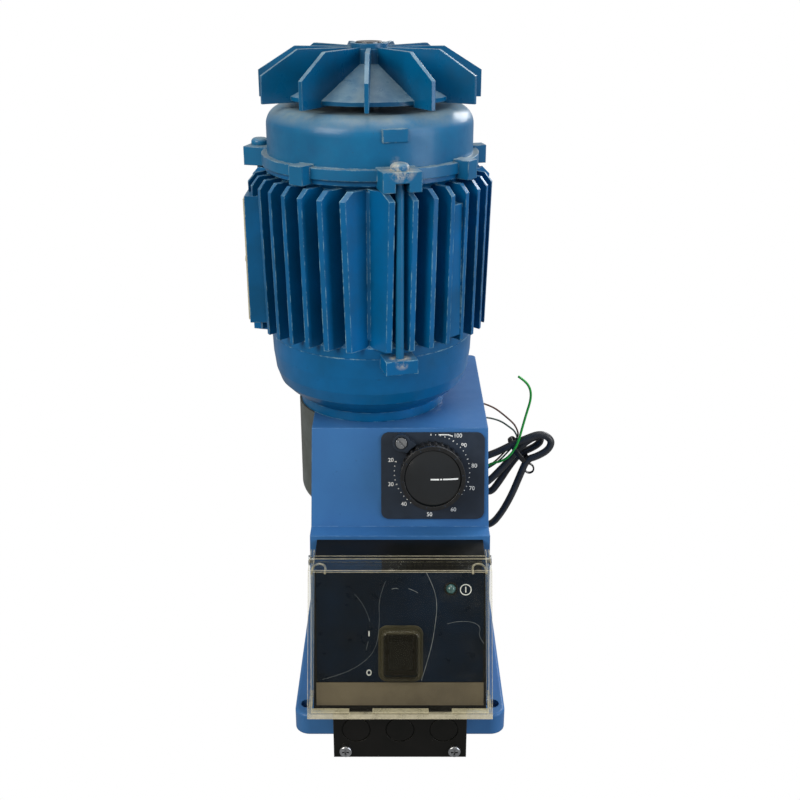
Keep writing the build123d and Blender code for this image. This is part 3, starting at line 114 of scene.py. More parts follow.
# %% [markdown]
# ## Opaque finishes
# Paint, plastic, rubber and metal differ in colour, gloss and wear, but are built the same way: two
# tones clouded together, a fine grain as bump, a colour where faces close in on each other (painted shade
# where it is darker, dirt where it is lighter), and lighter rims, partly rubbed edges and partly painted
# highlight. Dust and a painted sky reflection grey the faces that look up, and bare metal shows where a
# lug was knocked.

# %% One builder for all opaque finishes
def finish(
    name, base, other, rough=0.4, metal=0.0, patch=30, grain=0.6, bump=0.15, edge=0.6,
    worn_and_lit_edge=None, worn_and_lit_share=0.5, dirt_and_shade=None, dirt_and_shade_share=0.4, coat=0.0, fleck=None, stretch=None, gloss=0.5,
    dust_and_sky_sheen=None, dust_and_sheen_share=0.5, bare=(),
):
    """A clouded, grained, worn surface, with painted shade in its hollows and painted highlights on its
    rims. Sizes are in millimetres, shares from 0 to 1.
    """
    material, add, where = new_material(name)

    def times(a, b):
        return add("ShaderNodeMath", {0: a, 1: b}, operation="MULTIPLY").outputs[0]

    def laid_over(share, under, code):
        return add(
            "ShaderNodeMix", {"Factor": share, 6: under, 7: linear(code)}, data_type="RGBA"
        ).outputs[2]

    drawn_out = where
    if stretch:
        drawn_out = add("ShaderNodeMapping", {"Vector": where, "Scale": stretch}).outputs[0]
    cloud = patches(add, drawn_out, patch, 0.35, 0.65, detail=4, roughness=0.6)
    colour = laid_over(cloud, linear(base), other)
    round_edge = add("ShaderNodeBevel", {"Radius": edge * MM}, samples=6).outputs[0]
    # painted shade: a darker colour laid where ambient occlusion finds hollows; where the colour given is
    # lighter than the base, it is dirt
    if dirt_and_shade:
        hollow = add("ShaderNodeAmbientOcclusion", {"Distance": 8 * MM}, samples=6).outputs["AO"]
        deep = add("ShaderNodeMapRange", {"Value": hollow, "From Min": 0.75, "From Max": 0.25})
        share = times(deep.outputs["Result"], patches(add, where, 5, 0.3, 0.7, 0.4, 1.0, detail=5))
        colour = laid_over(times(share, dirt_and_shade_share), colour, dirt_and_shade)
    if fleck:
        spots = patches(add, where, 1.3, 0.71, 0.76, detail=2, roughness=0.5)
        colour = laid_over(times(spots, 0.5), colour, fleck)
    roughness = patches(
        add, where, patch / 4, 0.3, 0.7, rough * 0.85, min(1.0, rough * 1.2), detail=4
    )
    true_normal = add("ShaderNodeNewGeometry").outputs["Normal"]
    # dust and a painted reflection of the sky: faces that look up are greyed
    if dust_and_sky_sheen:
        up = add("ShaderNodeSeparateXYZ", {0: true_normal}).outputs["Z"]
        lying = add("ShaderNodeMapRange", {"Value": up, "From Min": 0.25, "From Max": 0.9})
        uneven = patches(add, where, 12, 0.3, 0.65, 0.35, 1.0, detail=5, roughness=0.7)
        colour = laid_over(times(times(lying.outputs["Result"], uneven), dust_and_sheen_share), colour, dust_and_sky_sheen)
    for spot, reach in bare:
        away = add(
            "ShaderNodeVectorMath", {0: where, 1: tuple(c * MM for c in spot)}, operation="DISTANCE"
        ).outputs["Value"]
        near = add(
            "ShaderNodeMapRange", {"Value": away, "From Min": reach * MM, "From Max": reach * 0.7 * MM}
        ).outputs["Result"]
        torn = patches(add, where, 4, 0.42, 0.56, detail=6, roughness=0.75)
        colour = laid_over(times(times(near, torn), 0.85), colour, "b5b2a6")
    # lighter rims found by the Bevel node: rubbed edges, and on the motor's fins a painted highlight where
    # light catches the rounded edges
    if worn_and_lit_edge:
        match = add(
            "ShaderNodeVectorMath", {0: round_edge, 1: true_normal}, operation="DOT_PRODUCT"
        ).outputs["Value"]
        rim = add("ShaderNodeMapRange", {"Value": match, "From Min": 0.995, "From Max": 0.93})
        rubbed_and_lit = patches(add, where, 6, 0.46, 0.6, detail=5, roughness=0.7)
        colour = laid_over(times(times(rim.outputs["Result"], rubbed_and_lit), worn_and_lit_share), colour, worn_and_lit_edge)
    fine = add(
        "ShaderNodeTexNoise",
        {"Vector": where, "Scale": 1.0 / (grain * MM), "Detail": 3.0, "Roughness": 0.55},
    ).outputs["Fac"]
    bumped = add(
        "ShaderNodeBump",
        {"Strength": bump, "Distance": 0.1 * MM, "Height": fine, "Normal": round_edge},
    ).outputs[0]
    shader = add(
        "ShaderNodeBsdfPrincipled",
        {
            "Base Color": colour, "Roughness": roughness, "Metallic": metal, "Normal": bumped,
            "Specular IOR Level": gloss,
        },
    )
    if coat:
        shader.inputs["Coat Weight"].default_value = coat
        shader.inputs["Coat Roughness"].default_value = 0.12
    add("ShaderNodeOutputMaterial", {"Surface": shader.outputs[0]})
    return material

# %% [markdown]
# ## Clear mouldings
# The hood is thin clear polycarbonate. Seen flat on it hardly shows, but its edges gather light and look
# pale, so a Bevel node finds them. The switch boot is clear rubber, darker on its upright walls.

# %% One builder for clear mouldings
FACE_LEAN = radians(13)


def clear_plastic(name, tint, rough, share, rim, rim_width, floor=None, wall=None):
    """A see-through skin, lightly scuffed, tinted on its walls, with painted highlights at its rims."""
    material, add, where = new_material(name)
    haze = add(
        "ShaderNodeMath",
        {
            0: patches(add, where, 14, 0.5, 0.8, detail=4, roughness=0.6),
            1: patches(add, where, 1.2, 0.45, 0.8, detail=3, roughness=0.6),
        },
        operation="MULTIPLY",
    ).outputs[0]
    scuffs = add("ShaderNodeMath", {0: haze, 1: 0.06}, operation="MULTIPLY").outputs[0]
    facing = add("ShaderNodeLayerWeight", {"Blend": 0.2}).outputs["Fresnel"]
    sheen = add("ShaderNodeMath", {0: facing, 1: 0.2}, operation="MULTIPLY").outputs[0]
    skin = add(
        "ShaderNodeBsdfPrincipled",
        {"Base Color": linear(tint), "Roughness": rough, "Specular IOR Level": 0.3},
    ).outputs[0]
    glassy = add(
        "ShaderNodeBsdfGlossy", {"Color": (1, 1, 1, 1), "Roughness": rough * 0.5}
    ).outputs[0]
    through = add("ShaderNodeBsdfTransparent", {"Color": linear("fcfcf9")}).outputs[0]
    normal = add("ShaderNodeNewGeometry").outputs["Normal"]
    amount = share
    if wall:
        upright = add(
            "ShaderNodeVectorMath",
            {0: normal, 1: (0, -cos(FACE_LEAN), sin(FACE_LEAN))},
            operation="DOT_PRODUCT",
        ).outputs["Value"]
        amount = add(
            "ShaderNodeMapRange",
            {"Value": upright, "From Min": 0.97, "From Max": 0.8, "To Min": share, "To Max": wall},
        ).outputs["Result"]
    mixed = add("ShaderNodeMixShader", {"Fac": amount, 1: through, 2: skin}).outputs[0]
    mixed = add("ShaderNodeMixShader", {"Fac": scuffs, 1: mixed, 2: skin}).outputs[0]
    mixed = add("ShaderNodeMixShader", {"Fac": sheen, 1: mixed, 2: glassy}).outputs[0]
    # painted highlight: a pale shader on the rims that the Bevel node finds, and low on the floor wall
    pale = add("ShaderNodeBsdfPrincipled", {"Base Color": linear(rim), "Roughness": 0.25}).outputs[0]
    rounded = add("ShaderNodeBevel", {"Radius": rim_width * MM}, samples=8).outputs[0]
    match = add(
        "ShaderNodeVectorMath", {0: rounded, 1: normal}, operation="DOT_PRODUCT"
    ).outputs["Value"]
    lit = add(
        "ShaderNodeMapRange",
        {"Value": match, "From Min": 0.99, "From Max": 0.9, "To Min": 0.0, "To Max": 0.75},
    ).outputs["Result"]
    if floor:
        height = add("ShaderNodeSeparateXYZ", {0: where}).outputs["Z"]
        low = add(
            "ShaderNodeMapRange",
            {"Value": height, "From Min": (floor + 0.6) * MM, "From Max": floor * MM, "To Max": 0.5},
        ).outputs["Result"]
        lit = add("ShaderNodeMath", {0: lit, 1: low}, operation="MAXIMUM").outputs[0]
    uneven = patches(add, where, 5, 0.3, 0.6, 0.55, 1.0, detail=5, roughness=0.7)
    mottled = add("ShaderNodeMath", {0: lit, 1: uneven}, operation="MULTIPLY").outputs[0]
    mixed = add("ShaderNodeMixShader", {"Fac": mottled, 1: mixed, 2: pale}).outputs[0]
    add("ShaderNodeOutputMaterial", {"Surface": mixed})
    return material

# %% [markdown]
# ## Enamel on castings
# The motor's frame and shields are aluminium castings under glossy blue enamel. The fins' edges are
# painted light, partly as wear and partly as painted highlight, the flat tops are greyed by dust and a
# painted sky reflection, the hollows carry painted shade, and the front lugs are knocked bare. The
# housing's enamel is paler and more matt, because it was sprayed on a finer casting.

# %% Mix the enamels
LUG_RADIUS, LUG_ANGLE = 60.0, radians(14.5 - 90)
MOTOR_X = -15.0
front_lug = (MOTOR_X + LUG_RADIUS * cos(LUG_ANGLE), LUG_RADIUS * sin(LUG_ANGLE))
# glossy deep blue; the pale lines along the fins' rims are painted highlight and wear, and the dark hollow
# colour is painted shade
motor_paint = finish(
    "motor_enamel_blue", "00629c", "00527f", 0.34, 0, 40, 0.9, 0.22, 0.7,
    worn_and_lit_edge="8fc0d2", worn_and_lit_share=0.75, dirt_and_shade="0a2c3c", dirt_and_shade_share=0.5, coat=0.08, fleck="0a3f58", gloss=0.25,
    dust_and_sky_sheen="5f8090", dust_and_sheen_share=0.5, bare=[((*front_lug, 199), 6), ((*front_lug, 203), 4)],
)
# the same blue on rougher castings, greyed on top by dust and a painted sky reflection, with painted shade
# in its hollows
cast_paint = finish(
    "shield_enamel_blue", "0c6794", "045884", 0.36, 0, 24, 0.7, 0.3, 0.8,
    worn_and_lit_edge="9ab4b8", worn_and_lit_share=0.65, dirt_and_shade="20383c", dirt_and_shade_share=0.5, coat=0.1, fleck="2c4a50", gloss=0.3,
    dust_and_sky_sheen="8b9a98", dust_and_sheen_share=0.75, bare=[((*front_lug, 293), 9)],
)
# the darkest and smoothest blue, with a light coat that catches the lamps, painted shade in its hollows,
# and dust and a painted sky reflection on its cone
fan_paint = finish(
    "fan_enamel_blue", "005c8a", "034b70", 0.3, 0, 30, 1.2, 0.15, 0.5,
    worn_and_lit_edge="7fb0c4", worn_and_lit_share=0.55, dirt_and_shade="0c2a38", dirt_and_shade_share=0.4, coat=0.15, fleck="1d5a70", gloss=0.3,
    dust_and_sky_sheen="8ba3ac", dust_and_sheen_share=0.7,
)
# a paler, more matt blue with few marks; the darker colour in its hollows, such as under the panel's
# overhang, is painted shade
housing_paint = finish(
    "housing_enamel_blue", "376da4", "30639a", 0.42, 0, 50, 0.8, 0.12, 0.8,
    worn_and_lit_edge="7ea5c6", worn_and_lit_share=0.3, dirt_and_shade="163350", dirt_and_shade_share=0.4, coat=0.05, fleck="28507a", gloss=0.3,
)
# dull grey-olive, a quiet patch beside the blue, with painted shade in its hollows
barrel_paint = finish(
    "barrel_grey_olive", "4f5654", "454a45", 0.5, 0, 20, 0.8, 0.2, 0.6, worn_and_lit_edge="85837a", dirt_and_shade="2c2b26",
)
# plain cream, without print, with painted shade in its hollows
cream_paint = finish(
    "nameplate_cream", "ccc6ac", "bdb798", 0.45, 0, 12, 0.6, 0.1, 0.3, worn_and_lit_edge="8f8c7e", dirt_and_shade="6d6a58",
)
enamels = motor_paint, cast_paint, fan_paint, housing_paint, barrel_paint, cream_paint
print("enamels", [paint.name for paint in enamels])

# %% [markdown]
# ## Plastics, rubber and print
# The box and the knob are moulded black ABS, which reflects little, so the gloss is kept low. The panel
# behind the hood is a dark navy polyester film with white screen print. Rubber is more matt, the knob's
# cap is polished, and the cable's PVC sheath has a slight sheen.

# %% Mix the plastics
# nearly black with little sheen, so that it stays dark beside the blue
black_plastic = finish(
    "box_black_plastic", "0a0b08", "11100e", 0.42, 0, 25, 0.5, 0.12, 0.4,
    worn_and_lit_edge="3a3833", worn_and_lit_share=0.35, dirt_and_shade="23211c", dirt_and_shade_share=0.3, gloss=0.2,
)
# dark navy, smooth enough for soft reflections
film_print = finish(
    "film_dark_gloss", "030e1a", "06182a", 0.3, 0, 30, 2.0, 0.03, 0.2, fleck="14202a", gloss=0.15,
)
# a warm grey-brown strip that parts the film from the box, with painted shade in its hollows
taupe_plastic = finish(
    "box_taupe_band", "6b6251", "5c5446", 0.5, 0, 18, 1.0, 0.05, 0.2, dirt_and_shade="35301f", gloss=0.2,
)
# black whose lobes are rubbed grey
knob_plastic = finish(
    "knob_black_plastic", "0c0d0e", "141516", 0.36, 0, 10, 0.4, 0.1, 0.4, worn_and_lit_edge="3c3f42", worn_and_lit_share=0.3,
)
# polished black that mirrors the lamps
cap_gloss = finish(
    "cap_black_gloss", "05090c", "0a1014", 0.1, 0, 12, 3.0, 0.015, 0.3, coat=0.6,
)
# dark grey with lighter dirt in its corners
head_plastic = finish(
    "head_dark_plastic", "2a2c30", "202226", 0.4, 0, 20, 0.5, 0.2, 0.5, dirt_and_shade="4a4842",
)
# plain mid grey, with painted shade in its hollows
valve_plastic = finish(
    "valve_grey_plastic", "8d8f92", "7e8083", 0.4, 0, 14, 0.5, 0.1, 0.4, dirt_and_shade="4d4b45",
)
# soft black without shine
rubber = finish("rubber_black", "131314", "1b1b1c", 0.62, 0, 10, 0.4, 0.2, 0.4, dirt_and_shade="3b3934")
# charcoal with a thin highlight along each strand, and painted shade where the strands lie close
cable_sheath = finish(
    "cable_sheath_black", "26282b", "303236", 0.4, 0, 8, 0.5, 0.12, 0.2, dirt_and_shade="15161a", fleck="4a4d50",
)
# smoother and blacker than the sheath, so that it parts from it
tie_nylon = finish("cable_tie_black_nylon", "0d0d0e", "17181a", 0.34, 0, 5, 0.3, 0.1, 0.2)
# three thin accents of coloured insulation
core_green = finish("core_green", "1f9a35", "23a83c", 0.35, 0, 5, 0.3, 0.05, 0.1)
core_brown = finish("core_brown", "5b3a2c", "4a3026", 0.4, 0, 5, 0.3, 0.05, 0.1)
core_dark = finish("core_dark_green", "24413a", "1c332e", 0.4, 0, 5, 0.3, 0.05, 0.1)
# solder mask, seen only when the box is opened
board_green = finish("circuit_board_green", "0f4d2c", "0c4426", 0.4, 0, 6, 0.4, 0.1, 0.2)
# clean white balls in dark valves
ceramic = finish("ball_white_ceramic", "e6e4dc", "dad8d0", 0.15, 0, 8, 0.5, 0.03, 0.2)
# screen print, bright but a little dull
print_white = finish("print_white", "e9eceb", "d2d6d6", 0.5, 0, 4, 0.3, 0.05, 0.02)
# a small wet-looking teal lens
lens_clear = finish("lamp_lens_teal", "4a7a7c", "1f4448", 0.08, 0, 2.2, 1.0, 0.02, 0.2, coat=1.0)
print("enamels and plastics", len(bpy.data.materials), "materials so far")

# %% [markdown]
# ## Metals
# Turned and ground steel, machined bronze, cast aluminium, stamped core sheets and wound copper. A metal
# mirrors what stands round it, so its colour is nearly its reflection and its roughness is what is seen.

# %% Mix the metals
# bright screw heads whose dark slots are painted shade
steel = finish("steel_bright", "b9bbbd", "96999c", 0.28, 1.0, 6, 0.3, 0.15, 0.3, dirt_and_shade="4b4740", dirt_and_shade_share=0.5)
# ground shafts, a shade darker than the screws, with painted shade in their hollows
dark_steel = finish("steel_ground", "8b8d90", "75777a", 0.32, 1.0, 10, 0.3, 0.1, 0.3, dirt_and_shade="35322d")
# a warm yellow metal for the worm wheel, with painted shade in its hollows
bronze = finish("bronze_machined", "b08a4a", "97713a", 0.35, 1.0, 10, 0.4, 0.1, 0.3, dirt_and_shade="40331f")
# pale, soft metal with no sharp highlight, with painted shade in its hollows
aluminium = finish("aluminium_cast", "b4b7ba", "a2a5a8", 0.4, 1.0, 12, 0.4, 0.15, 0.4, dirt_and_shade="55534d")
# dark stacked sheets
cast_iron = finish("core_laminations", "3a3b3d", "46484b", 0.5, 0.8, 8, 0.3, 0.2, 0.3)
# enamelled copper, streaked along its turns
winding = finish("winding_copper", "a4552c", "7d3d20", 0.35, 0.6, 3, 0.5, 0.6, 0.5, stretch=(1, 1, 3))
# a matt blue-black plate under the white print, with painted shade in its hollows
plate_metal = finish(
    "scale_plate_blue_black", "0f1c2a", "152435", 0.5, 0, 16, 0.4, 0.12, 0.3,
    worn_and_lit_edge="44586a", worn_and_lit_share=0.3, dirt_and_shade="0a0d10", fleck="26323c",
)
print("with the metals", len(bpy.data.materials))

# %% [markdown]
# ## Clear pieces and the marks on them
# The hood's floor wall is seen through its whole length, so a pale painted highlight covers it up to the
# height given as floor.

# %% Mix the clear mouldings
# nearly nothing face on, with cream painted highlights along its rims
hood_clear = clear_plastic(
    "hood_clear_plastic", "b9b3a0", 0.12, 0.004, rim="dcd4b8", rim_width=0.8, floor=34.4
)
# dark see-through rubber with pale painted highlights on its edges
boot_clear = clear_plastic(
    "boot_clear_rubber", "4b4634", 0.2, 0.06, rim="bdb08c", rim_width=0.6, wall=0.5
)
# an olive frame that holds the boot
boot_olive = finish(
    "boot_olive_rubber", "3f3c2b", "353224", 0.4, 0, 8, 0.6, 0.1, 0.3, worn_and_lit_edge="8c8262", gloss=0.3,
)
# a pale thread, as a scratch looks on clear plastic
scratch_pale = finish("scratch_pale", "7d827f", "565c5a", 0.5, 0, 3, 0.4, 0.05, 0.05)
# a thick clear rod drawn opaque cream, a painted highlight for the light it gathers
clip_clear = finish("clip_pale", "a59f88", "6f6b58", 0.25, 0, 3, 0.5, 0.1, 0.2)
print("with the clear mouldings", len(bpy.data.materials))

# %% [markdown]
# ## Finishes for the solids
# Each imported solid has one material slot, so the finish is put in place of what was packed.

# %% Give each solid its finish
finishes = {
    housing_paint: "base_plate gear_housing",
    barrel_paint: "side_barrel",
    black_plastic: "control_box terminal_cover switch_body cable_gland",
    film_print: "label_film",
    hood_clear: "hood",
    boot_clear: "switch_boot",
    lens_clear: "status_led",
    board_green: "control_board",
    plate_metal: "scale_plate",
    knob_plastic: "stroke_knob",
    cap_gloss: "knob_cap rocker",
    steel: "terminal_screws hood_pins clamp_screw return_spring head_screws lower_bearing"
    " upper_bearing motor_screws housing_screws",
    dark_steel: "stroke_spindle motor_shaft worm cross_shaft cross_bearings push_rod",
    bronze: "worm_wheel guide_bush",
    aluminium: "diaphragm_core backing_plate rotor_core",
    rubber: "diaphragm shaft_seal",
    head_plastic: "pump_head suction_union_nut discharge_union_nut",
    valve_plastic: "terminal_block suction_valve discharge_valve",
    ceramic: "suction_ball discharge_ball",
    motor_paint: "lower_shield stator_frame",
    cream_paint: "nameplate",
    cast_iron: "stator_core",
    winding: "stator_windings",
    cast_paint: "upper_shield tie_rods",
    fan_paint: "fan",
    cable_sheath: "signal_cable signal_cable_hank",
    tie_nylon: "cable_tie",
}
dressed = 0
for material, names in finishes.items():
    for name in names.split():
        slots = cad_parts[name].data.materials
        slots.clear()
        slots.append(material)
        dressed += 1
print("dressed", dressed, "of", len(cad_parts), "solids")

# %% Helpers for added pieces
def only(*objects):
    """Selects these objects alone, the first one active."""
    bpy.ops.object.select_all(action="DESELECT")
    for obj in objects:
        obj.select_set(True)
    bpy.context.view_layer.objects.active = objects[0]


def settle(obj, name, where=None):
    """Names a piece, carries it to its place and writes the place into its mesh."""
    only(obj)
    obj.name = obj.data.name = name
    if where is not None:
        obj.matrix_world = where @ obj.matrix_world
    bpy.ops.object.transform_apply(location=True, rotation=True, scale=True)
    return obj


def joined(objects):
    """Several primitives as one piece."""
    only(*objects)
    bpy.ops.object.join()
    return bpy.context.object


def place(obj, material, body="pump"):
    """Gives a piece its material in a new slot, and its body."""
    obj.data.materials.clear()
    obj.data.materials.append(material)
    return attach(obj, body)


print("pieces are settled with their place in the mesh, at the origin")

# %% [markdown]
# ## Signal cable
# A cord is a curve with a round bevel, so its thickness stays the same in every bend. It leaves the gland
# at the rear, goes round the pump head and comes up to the tie. From there it lies in flat folds, which
# are easiest to draw in the hank's own plane: along it, down across it and through its depth.

# %% Draw a cord
def cord_line(name, points, radius):
    """A round cord along a smooth spline whose control points are in millimetres."""
    data = bpy.data.curves.new(name, "CURVE")
    data.dimensions = "3D"
    spline = data.splines.new("NURBS")
    spline.points.add(len(points) - 1)
    for point, spot in zip(spline.points, points):
        point.co = (*[c * MM for c in spot], 1.0)
    spline.order_u = 3
    spline.use_endpoint_u = True
    spline.resolution_u = 16
    data.bevel_depth = radius * MM
    data.bevel_resolution = 5
    data.use_fill_caps = True
    obj = bpy.data.objects.new(name, data)
    bpy.context.collection.objects.link(obj)
    return obj

# %% Lay the cable
CABLE_RADIUS = 2.25
CABLE_ROUTE = [
    (34, 57.5, 40), (34, 86, 40), (42, 97, 33), (53, 93, 27), (60, 82, 33), (66, 75, 46),
    (71.5, 72, 60), (76, 71, 74), (80, 70.5, 86),
]
HANK_MIDDLE = Vector((70, 76, 84))
HANK_ALONG = Vector((0.79, -0.1, 0.6)).normalized()
HANK_DEPTH = Vector((0.12, 0.99, 0)).normalized()
HANK_DOWN = HANK_DEPTH.cross(HANK_ALONG)


def in_hank(u, v, w):
    """A point of the hank's plane in the part's millimetres."""
    return tuple(HANK_MIDDLE + HANK_ALONG * u + HANK_DOWN * v + HANK_DEPTH * w)


FOLDS = [
    (16, 6.5, -4.7), (24.5, 6.8, -4.7), (29.8, 3.2, -4.7), (28.8, -2.5, -4.7), (25, -5.8, -4.7),
    (17, -7.3, -4.5), (8, -8.6, -4.2), (-2, -9.2, -3.5), (-11, -10.6, -2.5), (-18, -11, -1),
    (-21.5, -6, 1), (-24, 2, 2.5), (-27.5, 9, 3), (-25.5, 14, 2.5), (-17, 11, 2.5), (-4, 4.9, 2.5),
    (6, 1.5, 3), (16, 3, 3), (22, 2, 2), (24, -1.5, 1), (20, -4, 0), (12, -3.5, 0), (4, -1.5, -1),
    (-3.3, 0.8, -2), (-11, 2.5, -3), (-19.3, 4.5, -3), (-26, 5, -2),
]
cable = cord_line("signal_cable_line", CABLE_ROUTE + [in_hank(*spot) for spot in FOLDS], CABLE_RADIUS)
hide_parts("signal_cable", "signal_cable_hank")
place(cable, cable_sheath)
print("cable", cable.data.splines[0].calc_length(), "m along its middle")

# %% [markdown]
# The three cores come out bare where the sheath is cut. They rise behind the housing and bend forwards.

# %% Add the three cores
THICK_CORE, THIN_CORE = 0.75, 0.55
cores = {
    "core_green_wire": (core_green, THICK_CORE, [
        (52.4, 77, 64.5), (51, 78, 73), (56.8, 74.5, 81), (65.5, 70, 85), (71, 68.5, 92),
        (74, 68.5, 99), (76, 70, 107), (78.6, 71.5, 117), (81, 72, 126), (80.5, 72, 133),
        (77, 72, 138.2), (72.6, 72, 141.2),
    ]),
    "core_brown_wire": (core_brown, THIN_CORE, [
        (52.4, 78, 64.5), (53, 79, 74), (62, 76, 83), (70, 73, 95), (74.6, 70.5, 102),
        (72, 70.5, 109), (68.3, 70, 113), (63, 69, 118), (58, 66.5, 122.7), (52, 62, 127),
        (46, 60, 129.8), (41, 62, 130.5),
    ]),
    "core_dark_wire": (core_dark, THIN_CORE, [
        (52.4, 76, 64.5), (52, 77, 74), (62, 74, 82), (70, 71.5, 93), (74, 70.5, 100),
        (71.5, 70.5, 105.5), (68.5, 70, 108), (64, 68.5, 112), (59.7, 66.5, 114.8),
        (54, 64, 117.2), (47, 62, 118.6), (41, 63, 119),
    ]),
}
wires = [
    place(cord_line(name, points, radius), material)
    for name, (material, radius, points) in cores.items()
]
print("cores", [wire.name for wire in wires])

# %% [markdown]
# ## Cable tie
# The strap is a circle squeezed to an oval and drawn out to a band. Solidify gives it its thickness, and
# two levels of subdivision round it. Its tail is pulled back into a small loop in front of the strands.

# %% Strap and tail
STRAP_THICKNESS = 1.2


def band(name, middle, first, second, across, width, steps):
    """An oval band: first and second are its half axes and across is the way of its width."""
    bpy.ops.mesh.primitive_circle_add(vertices=steps, radius=1)
    obj = bpy.context.object
    bpy.ops.object.mode_set(mode="EDIT")
    bpy.ops.mesh.select_all(action="SELECT")
    bpy.ops.transform.translate(value=(0, 0, -0.5))
    bpy.ops.mesh.extrude_region_move(TRANSFORM_OT_translate={"value": (0, 0, 1)})
    bpy.ops.object.mode_set(mode="OBJECT")
    axes = Matrix((first, second, across * width)).transposed() * MM
    settle(obj, name, Matrix.Translation(Vector(middle) * MM) @ axes.to_4x4())
    skin = obj.modifiers.new("thickness", "SOLIDIFY")
    skin.thickness, skin.offset = STRAP_THICKNESS * MM, 0
    smooth = obj.modifiers.new("round", "SUBSURF")
    smooth.levels = smooth.render_levels = 2
    return obj


tie_strap = band(
    "cable_tie_strap", in_hank(8, -1.9, -0.6), HANK_DOWN * 9.9, HANK_DEPTH * 7.2, HANK_ALONG, 3.6, 28
)
tie_tail = band(
    "cable_tie_tail", in_hank(7.2, 10.4, -4.5), HANK_DOWN * 3.4, HANK_ALONG * 3.0, HANK_DEPTH, 2.6, 20
)
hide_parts("cable_tie")
for piece in (tie_strap, tie_tail):
    place(piece, tie_nylon)

# %% [markdown]
# ## Fan hub
# The collar stands a little proud of the blades, round the ground end of the shaft. Both turn with the
# rotor.

# %% Rings, and the hub made of them
def raised(obj, height):
    """Draws a flat mesh up into a solid of this height."""
    only(obj)
    bpy.ops.object.mode_set(mode="EDIT")
    bpy.ops.mesh.select_all(action="SELECT")
    bpy.ops.mesh.extrude_region_move(TRANSFORM_OT_translate={"value": (0, 0, height * MM)})
    bpy.ops.mesh.select_all(action="SELECT")
    bpy.ops.mesh.normals_make_consistent(inside=False)
    bpy.ops.object.mode_set(mode="OBJECT")
    return obj


def ring(x, y, radius, inner, low, high, steps):
    """A disc, or with an inner radius a ring: a filled circle, inset, opened and drawn up."""
    bpy.ops.mesh.primitive_circle_add(
        vertices=steps, radius=radius * MM, fill_type="NGON", location=(x * MM, y * MM, low * MM)
    )
    obj = bpy.context.object
    if inner:
        bpy.ops.object.mode_set(mode="EDIT")
        bpy.ops.mesh.select_all(action="SELECT")
        bpy.ops.mesh.inset(thickness=(radius - inner) * cos(pi / steps) * MM)
        bpy.ops.mesh.delete(type="FACE")
        bpy.ops.object.mode_set(mode="OBJECT")
    return raised(obj, high - low)


collar = ring(MOTOR_X, 0, 9.3, 6.9, 338, 342.4, 40)
place(settle(collar, "hub_collar"), fan_paint, "rotor")
shaft_end = ring(MOTOR_X, 0, 6.3, 0, 339, 343.0, 36)
place(settle(shaft_end, "shaft_end"), dark_steel, "rotor")
print("hub pieces stand at", MOTOR_X, "mm in X, on the rotor's axis")

# %% [markdown]
# ## Leaning faces
# The stroke panel, the film and the hood's face all lean back by the same angle. Printing is drawn flat,
# X to the right and Y up the slope, and a matrix then carries it onto its face.

# %% Matrices of the leaning faces
def leaning_plane(y, z):
    """Local X to the right, Y up the slope and Z out of a face that leans back."""
    return Matrix((
        (1, 0, 0, 0),
        (0, sin(FACE_LEAN), -cos(FACE_LEAN), y * MM),
        (0, cos(FACE_LEAN), sin(FACE_LEAN), z * MM),
        (0, 0, 0, 1),
    ))


HOOD_FACE_Y, HOOD_TOP_Z, HOOD_DEPTH = -100, 106.4, 14
panel = leaning_plane(-46.2, 158.0)
hood_face = leaning_plane(HOOD_FACE_Y, HOOD_TOP_Z)
film = leaning_plane(HOOD_FACE_Y + HOOD_DEPTH * cos(FACE_LEAN), HOOD_TOP_Z - HOOD_DEPTH * sin(FACE_LEAN))
print("panel, film and hood face lean back by", round(FACE_LEAN * 180 / pi), "degrees")

# %% [markdown]
# ## Stroke scale
# The plate is printed with its figures, a ring of short strokes and a pointer towards the locking screw.
# Print is thin, but it needs some thickness to show, so it stands a few hundredths of a millimetre proud.

# %% Print the figures
PLATE = 1.2
KNOB = Vector((16.4, -22.6))
LETTER_HEIGHT, CAPITAL_SHARE = 2.05, 0.7
figures = {
    "100": (29.5, 3.8), "90": (32.6, 8.8), "80": (38.0, 19.5), "70": (36.9, 31.3), "60": (27.5, 42.5),
    "50": (15.2, 45.1), "40": (2.0, 39.6), "30": (-4.7, 29.2), "20": (-4.7, 16.5),
}


def letters(name, text, where):
    """Flat printed figures, centred, made a mesh and carried to their place."""
    bpy.ops.object.text_add()
    obj = bpy.context.object
    obj.data.body = text
    obj.data.align_x, obj.data.align_y = "CENTER", "CENTER"
    obj.data.size = LETTER_HEIGHT * MM / CAPITAL_SHARE
    obj.data.extrude = 0.04 * MM
    obj.data.offset = 0.03 * MM
    bpy.ops.object.convert(target="MESH")
    return settle(bpy.context.object, name, where)


for text, (x, down) in figures.items():
    spot = panel @ Matrix.Translation(Vector((x, -down, PLATE + 0.03)) * MM)
    place(letters("scale_figure_" + text, text, spot), print_white)
print("figures", ", ".join(figures))

# %% Draw a bar, print the ring of strokes
def bar(start, end, width, low, high):
    """A straight printed bar: a cube stretched from start to end."""
    a, b = Vector(start), Vector(end)
    middle, along = (a + b) / 2, b - a
    bpy.ops.mesh.primitive_cube_add(
        size=1,
        location=(middle.x * MM, middle.y * MM, (low + high) / 2 * MM),
        rotation=(0, 0, atan2(along.y, along.x)),
    )
    obj = bpy.context.object
    obj.scale = (along.length * MM, width * MM, (high - low) * MM)
    return obj


